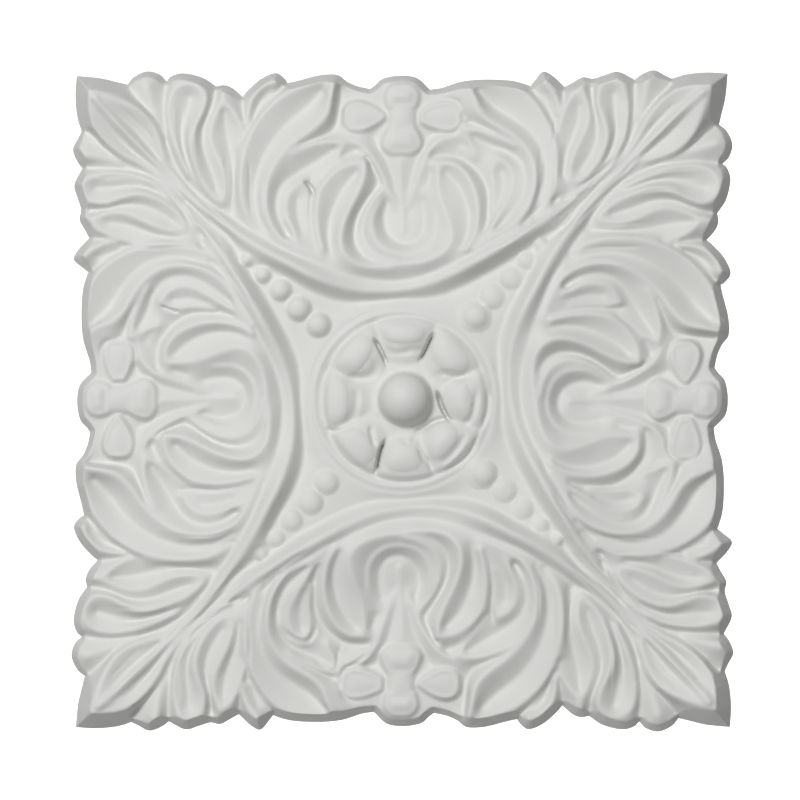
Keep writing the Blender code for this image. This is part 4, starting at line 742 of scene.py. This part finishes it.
def fit_to_foot(x, y, side):
    """Draw the outer part of a square sheet in to the foot line."""
    half = DRAWN_WIDTH / 2
    ring = np.maximum(np.abs(x), np.abs(y))
    run = np.concatenate(([0], np.cumsum(np.hypot(*np.diff(side, axis=0).T))))
    run = run / run[-1]
    t = np.clip((ring / half - PULL_FROM) / PULL_OVER, 0, 1)
    pull = t * t * (3 - 2 * t)
    out = np.stack((x, y), axis=1)
    upright = np.where(y > 0, 0, 2)
    wedge = np.where(np.abs(x) <= np.abs(y), upright, np.where(x > 0, 1, 3))
    for turn in range(4):
        mine = (wedge == turn) & (ring > 0.5 * half)
        local = quarter_turn(out[mine], -turn)
        along = np.clip(local[:, 0] / ring[mine], -1, 1)
        share = (along + 1) / 2
        foot_x = np.interp(share, run, side[:, 0])
        foot_y = np.interp(share, run, side[:, 1])
        edge = np.stack((foot_x, foot_y), axis=1)
        plain = np.stack((along * half, np.full(len(along), half)), axis=1)
        local = local + (edge - plain) * pull[mine][:, None]
        out[mine] = quarter_turn(local, turn)
    return out[:, 0], out[:, 1]


def score(grid, height, points, half):
    """Heights of a band along a line, fading out at its ends."""
    amount = np.zeros((len(grid), len(grid)))
    count = len(points)
    for k, (x, y) in enumerate(points):
        fade = min(1.0, FADE * (k + 0.5) / count, FADE * (count - k - 0.5) / count)
        i0, i1 = np.searchsorted(grid, (x - half, x + half))
        j0, j1 = np.searchsorted(grid, (y - half, y + half))
        away = ((grid[i0:i1] - x) ** 2)[None, :] + ((grid[j0:j1] - y) ** 2)[:, None]
        band = amount[j0:j1, i0:i1]
        np.maximum(band, fade * (1 - np.minimum(away / half ** 2, 1)) ** 2, out=band)
    return height * amount


def fine_work(grid, z):
    """Swell the petals, cut the slits and hooks, then score the strands in each quarter."""
    gx, gy = np.meshgrid(grid, grid)
    for x, y, long, broad, lean, rise in PUFFS + LUMPS:
        c, s = np.cos(np.radians(lean)), np.sin(np.radians(lean))
        along = np.abs((gx - x) * c + (gy - y) * s) / long
        across = np.abs((gy - y) * c - (gx - x) * s) / broad
        cushion = np.clip(1 - along ** PUFF_SQUARE - across ** PUFF_SQUARE, 0, 1)
        z = z + rise * cushion ** PUFF_FULLNESS
    for turns, lines in ((1, SLITS + HOLLOWS + HOOKS + CREASES), (4, STRANDS)):
        for turn in range(turns):
            for half, height, stations in lines:
                points = quarter_turn(smooth_line(stations), turn)
                z = z + score(grid, height, points, half)
    return z


def face_sheet(name, grid, z, side, cells):
    """The carved face as an open sheet."""
    bm = bmesh.new()
    bmesh.ops.create_grid(bm, x_segments=cells, y_segments=cells, size=DRAWN_WIDTH / 2)
    mesh = bpy.data.meshes.new(name)
    bm.to_mesh(mesh)
    bm.free()
    flat = np.empty(3 * len(mesh.vertices))
    mesh.vertices.foreach_get("co", flat)
    flat = flat.reshape(-1, 3)
    x, y = fit_to_foot(flat[:, 0], flat[:, 1], side)
    h = sample(grid, z, x, y)
    places = np.stack((x * PLAN, -h * RISE, y * PLAN), axis=1)
    mesh.vertices.foreach_set("co", places.ravel())
    mesh.update()
    return bpy.data.objects.new(name, mesh)


def thin_out(obj, triangles):
    """Mesh of the object with about this many triangles, dense where it bends."""
    bpy.context.scene.collection.objects.link(obj)
    collapse = obj.modifiers.new("Thin out", "DECIMATE")
    collapse.decimate_type = "COLLAPSE"
    collapse.ratio = triangles / (2 * len(obj.data.polygons))
    collapse.use_collapse_triangulate = True
    bpy.context.view_layer.update()
    depsgraph = bpy.context.evaluated_depsgraph_get()
    mesh = bpy.data.meshes.new_from_object(obj.evaluated_get(depsgraph))
    bpy.data.objects.remove(obj)
    return mesh


def unfold(bm):
    """Even out the few triangles that thinning folded over, away from the rim."""
    for _ in range(UNFOLD_ROUNDS):
        bm.normal_update()
        folded = [face for face in bm.faces if face.normal.y > 0]
        loose = sorted({vert.index for face in folded for vert in face.verts
                        if not vert.is_boundary})
        if not loose:
            break
        bm.verts.ensure_lookup_table()
        for index in loose:
            vert = bm.verts[index]
            around = [edge.other_vert(vert).co for edge in vert.link_edges]
            vert.co = sum(around, Vector()) / len(around)


def close_back(mesh):
    """Drop the upright rim to the back plane and close the flat back."""
    bm = bmesh.new()
    bm.from_mesh(mesh)
    unfold(bm)
    rim = [e for e in bm.edges if e.is_boundary]
    made = bmesh.ops.extrude_edge_only(bm, edges=rim)["geom"]
    for vert in made:
        if isinstance(vert, bmesh.types.BMVert):
            vert.co.y = 0.0
    foot = [e for e in made if isinstance(e, bmesh.types.BMEdge) and e.is_boundary]
    back = bmesh.ops.contextual_create(bm, geom=foot)["faces"]
    back = bmesh.ops.triangulate(bm, faces=back)["faces"]
    for face in back:
        face.material_index = BACK_MATERIAL
    bmesh.ops.recalc_face_normals(bm, faces=bm.faces)
    bm.to_mesh(mesh)
    bm.free()


def linear(colour):
    """An sRGB hex colour as linear RGBA."""
    parts = [int(colour[i:i + 2], 16) / 255 for i in (1, 3, 5)]
    light = [c / 12.92 if c <= 0.04045 else ((c + 0.055) / 1.055) ** 2.4 for c in parts]
    return (*light, 1.0)


def add_node(tree, kind, settings=None, links=None):
    """Add a node, set its sockets or properties by name, and link its inputs."""
    made = tree.nodes.new(kind)
    for name, value in (settings or {}).items():
        if isinstance(name, int) or name in made.inputs:
            made.inputs[name].default_value = value
        else:
            setattr(made, name, value)
    for name, source in (links or {}).items():
        tree.links.new(source, made.inputs[name])
    return made


def new_material(name, settings):
    """A material with its surface's sockets set: the material, its tree and its surface."""
    mat = bpy.data.materials.new(name)
    mat.use_nodes = True
    shader = mat.node_tree.nodes["Principled BSDF"]
    for socket, value in settings.items():
        shader.inputs[socket].default_value = value
    return mat, mat.node_tree, shader


def primed_foam():
    """Hard polyurethane foam, cast in a silicone mould and sprayed with matt white primer:
    chalky and even, with the fine pebble of dry spray and faint cloudiness in the coat."""
    mat, tree, shader = new_material("Primed white polyurethane", {
        "Metallic": 0.0, "IOR": 1.5, "Base Color": linear("#E0E0DE")})
    place = add_node(tree, "ShaderNodeTexCoord").outputs["Object"]
    # coat varies in clouds about 9 mm across
    cloud = add_node(tree, "ShaderNodeTexNoise",
                     {"Scale": 110.0, "Detail": 3.0, "Roughness": 0.6}, {"Vector": place})
    # spray pebble is about 0.2 mm; drawn at 0.6 mm so that it shows at this size
    pebble = add_node(tree, "ShaderNodeTexNoise",
                      {"Scale": 1600.0, "Detail": 2.0, "Roughness": 0.5}, {"Vector": place})
    tone = add_node(tree, "ShaderNodeMix",
                    {"data_type": "RGBA", MIX_A: linear("#DDDDDA"), MIX_B: linear("#E3E3E1")},
                    {MIX_FACTOR: cloud.outputs["Fac"]})
    tree.links.new(tone.outputs[MIX_RESULT], shader.inputs["Base Color"])
    rough = add_node(tree, "ShaderNodeMapRange", {"To Min": 0.56, "To Max": 0.68},
                     {"Value": pebble.outputs["Fac"]})
    tree.links.new(rough.outputs["Result"], shader.inputs["Roughness"])
    bump = add_node(tree, "ShaderNodeBump", {"Strength": 0.12, "Distance": 0.0002},
                    {"Height": pebble.outputs["Fac"]})
    tree.links.new(bump.outputs["Normal"], shader.inputs["Normal"])
    return mat


def bare_foam():
    """The same foam planed flat on the back and left bare: warmer, duller, finely pitted."""
    mat, tree, shader = new_material("Bare polyurethane back", {
        "Metallic": 0.0, "IOR": 1.5, "Roughness": 0.8})
    place = add_node(tree, "ShaderNodeTexCoord").outputs["Object"]
    cloud = add_node(tree, "ShaderNodeTexNoise",
                     {"Scale": 45.0, "Detail": 4.0, "Roughness": 0.6}, {"Vector": place})
    tone = add_node(tree, "ShaderNodeMix",
                    {"data_type": "RGBA", MIX_A: linear("#DDD8C9"), MIX_B: linear("#E9E5DA")},
                    {MIX_FACTOR: cloud.outputs["Fac"]})
    tree.links.new(tone.outputs[MIX_RESULT], shader.inputs["Base Color"])
    # gas pits about 1 mm apart
    pits = add_node(tree, "ShaderNodeTexVoronoi", {"Scale": 900.0, "Randomness": 1.0},
                    {"Vector": place})
    dip = add_node(tree, "ShaderNodeMapRange", {"From Max": 0.25},
                   {"Value": pits.outputs["Distance"]})
    bump = add_node(tree, "ShaderNodeBump", {"Strength": 0.25, "Distance": 0.0002},
                    {"Height": dip.outputs["Result"]})
    tree.links.new(bump.outputs["Normal"], shader.inputs["Normal"])
    return mat


def studio_paper():
    """Seamless white background paper, matt."""
    return new_material("White background paper", {
        "Base Color": linear("#F6F6F6"), "Roughness": 0.9, "Specular IOR Level": 0.1})[0]


def cast_applique():
    """The whole casting, fine carving and all."""
    grid, z, side = carve()
    sheet = face_sheet("Carved sheet", grid, z, side, SHEET_CELLS)
    mesh = thin_out(sheet, SURFACE_TRIANGLES)
    mesh.name = "applique_casting"
    close_back(mesh)
    mesh.materials.clear()
    mesh.materials.append(primed_foam())
    mesh.materials.append(bare_foam())
    mesh.shade_smooth()
    mesh.set_sharp_from_angle(angle=np.radians(SHARP_OVER))
    casting = bpy.data.objects.new("applique_casting", mesh)
    bpy.context.scene.collection.objects.link(casting)
    return casting


def paper_sweep(behind, below, tall, front, bend, reach):
    """Paper that hangs well behind the piece and turns forward at its foot."""
    profile = [(front, below), (behind - bend, below)]
    for k in range(1, BEND_STEPS + 1):
        a = np.pi / 2 * k / BEND_STEPS
        profile.append((behind - bend + bend * np.sin(a), below + bend - bend * np.cos(a)))
    profile.append((behind, below + tall))
    bm = bmesh.new()
    rows = [[bm.verts.new((x, y, z)) for y, z in profile] for x in (-reach, reach)]
    for k in range(len(profile) - 1):
        bm.faces.new((rows[0][k], rows[1][k], rows[1][k + 1], rows[0][k + 1]))
    mesh = bpy.data.meshes.new("background_paper")
    bm.to_mesh(mesh)
    bm.free()
    mesh.shade_smooth()
    mesh.materials.append(studio_paper())
    paper = bpy.data.objects.new("background_paper", mesh)
    bpy.context.scene.collection.objects.link(paper)
    return paper


def soft_light(name, place, aim, size, watts):
    """A square softbox."""
    light = bpy.data.lights.new(name, "AREA")
    light.shape = "SQUARE"
    light.size = size
    light.energy = watts
    box = bpy.data.objects.new(name, light)
    box.location = place
    box.rotation_euler = (Vector(aim) - Vector(place)).to_track_quat("-Z", "Y").to_euler()
    bpy.context.scene.collection.objects.link(box)
    return box


casting = cast_applique()
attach(casting, "root")
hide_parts("rosette_applique")

paper = paper_sweep(behind=1.4, below=-0.62, tall=3.2, front=0.3, bend=0.5, reach=2.0)

soft_light("key softbox", place=(-0.47, -1.64, 0.56), aim=(0, 0, 0), size=0.45, watts=21.5)
backlight = soft_light("background softbox", place=(0.0, 0.25, 0.0), aim=(0, 1.4, 0.0),
                       size=0.3, watts=14)
backlight.visible_camera = False

world = bpy.data.worlds.new("Studio air")
world.use_nodes = True
air = world.node_tree.nodes["Background"]
air.inputs["Color"].default_value = linear("#FFFFFF")
air.inputs["Strength"].default_value = 0.22
bpy.context.scene.world = world
bpy.context.scene.view_settings.view_transform = "Standard"

# Camera: 1.6 m off, 1.5 degrees to the right and 2 degrees below, framing 272 mm
DISTANCE = 1.6
FRAMED = 0.272
SENSOR = 36.0
azimuth = np.radians(1.5)
elevation = np.radians(-2.0)
aim = Vector((-0.0007, 0.0, 0.0001))
eye = aim + DISTANCE * Vector((np.sin(azimuth) * np.cos(elevation),
                               -np.cos(azimuth) * np.cos(elevation), np.sin(elevation)))
lens = bpy.data.cameras.new("Camera")
lens.sensor_width = SENSOR
lens.lens = SENSOR * DISTANCE / FRAMED
lens.clip_end = 20.0
camera = bpy.data.objects.new("Camera", lens)
camera.location = eye
camera.rotation_euler = (aim - eye).to_track_quat("-Z", "Y").to_euler()
bpy.context.scene.collection.objects.link(camera)
bpy.context.scene.camera = camera
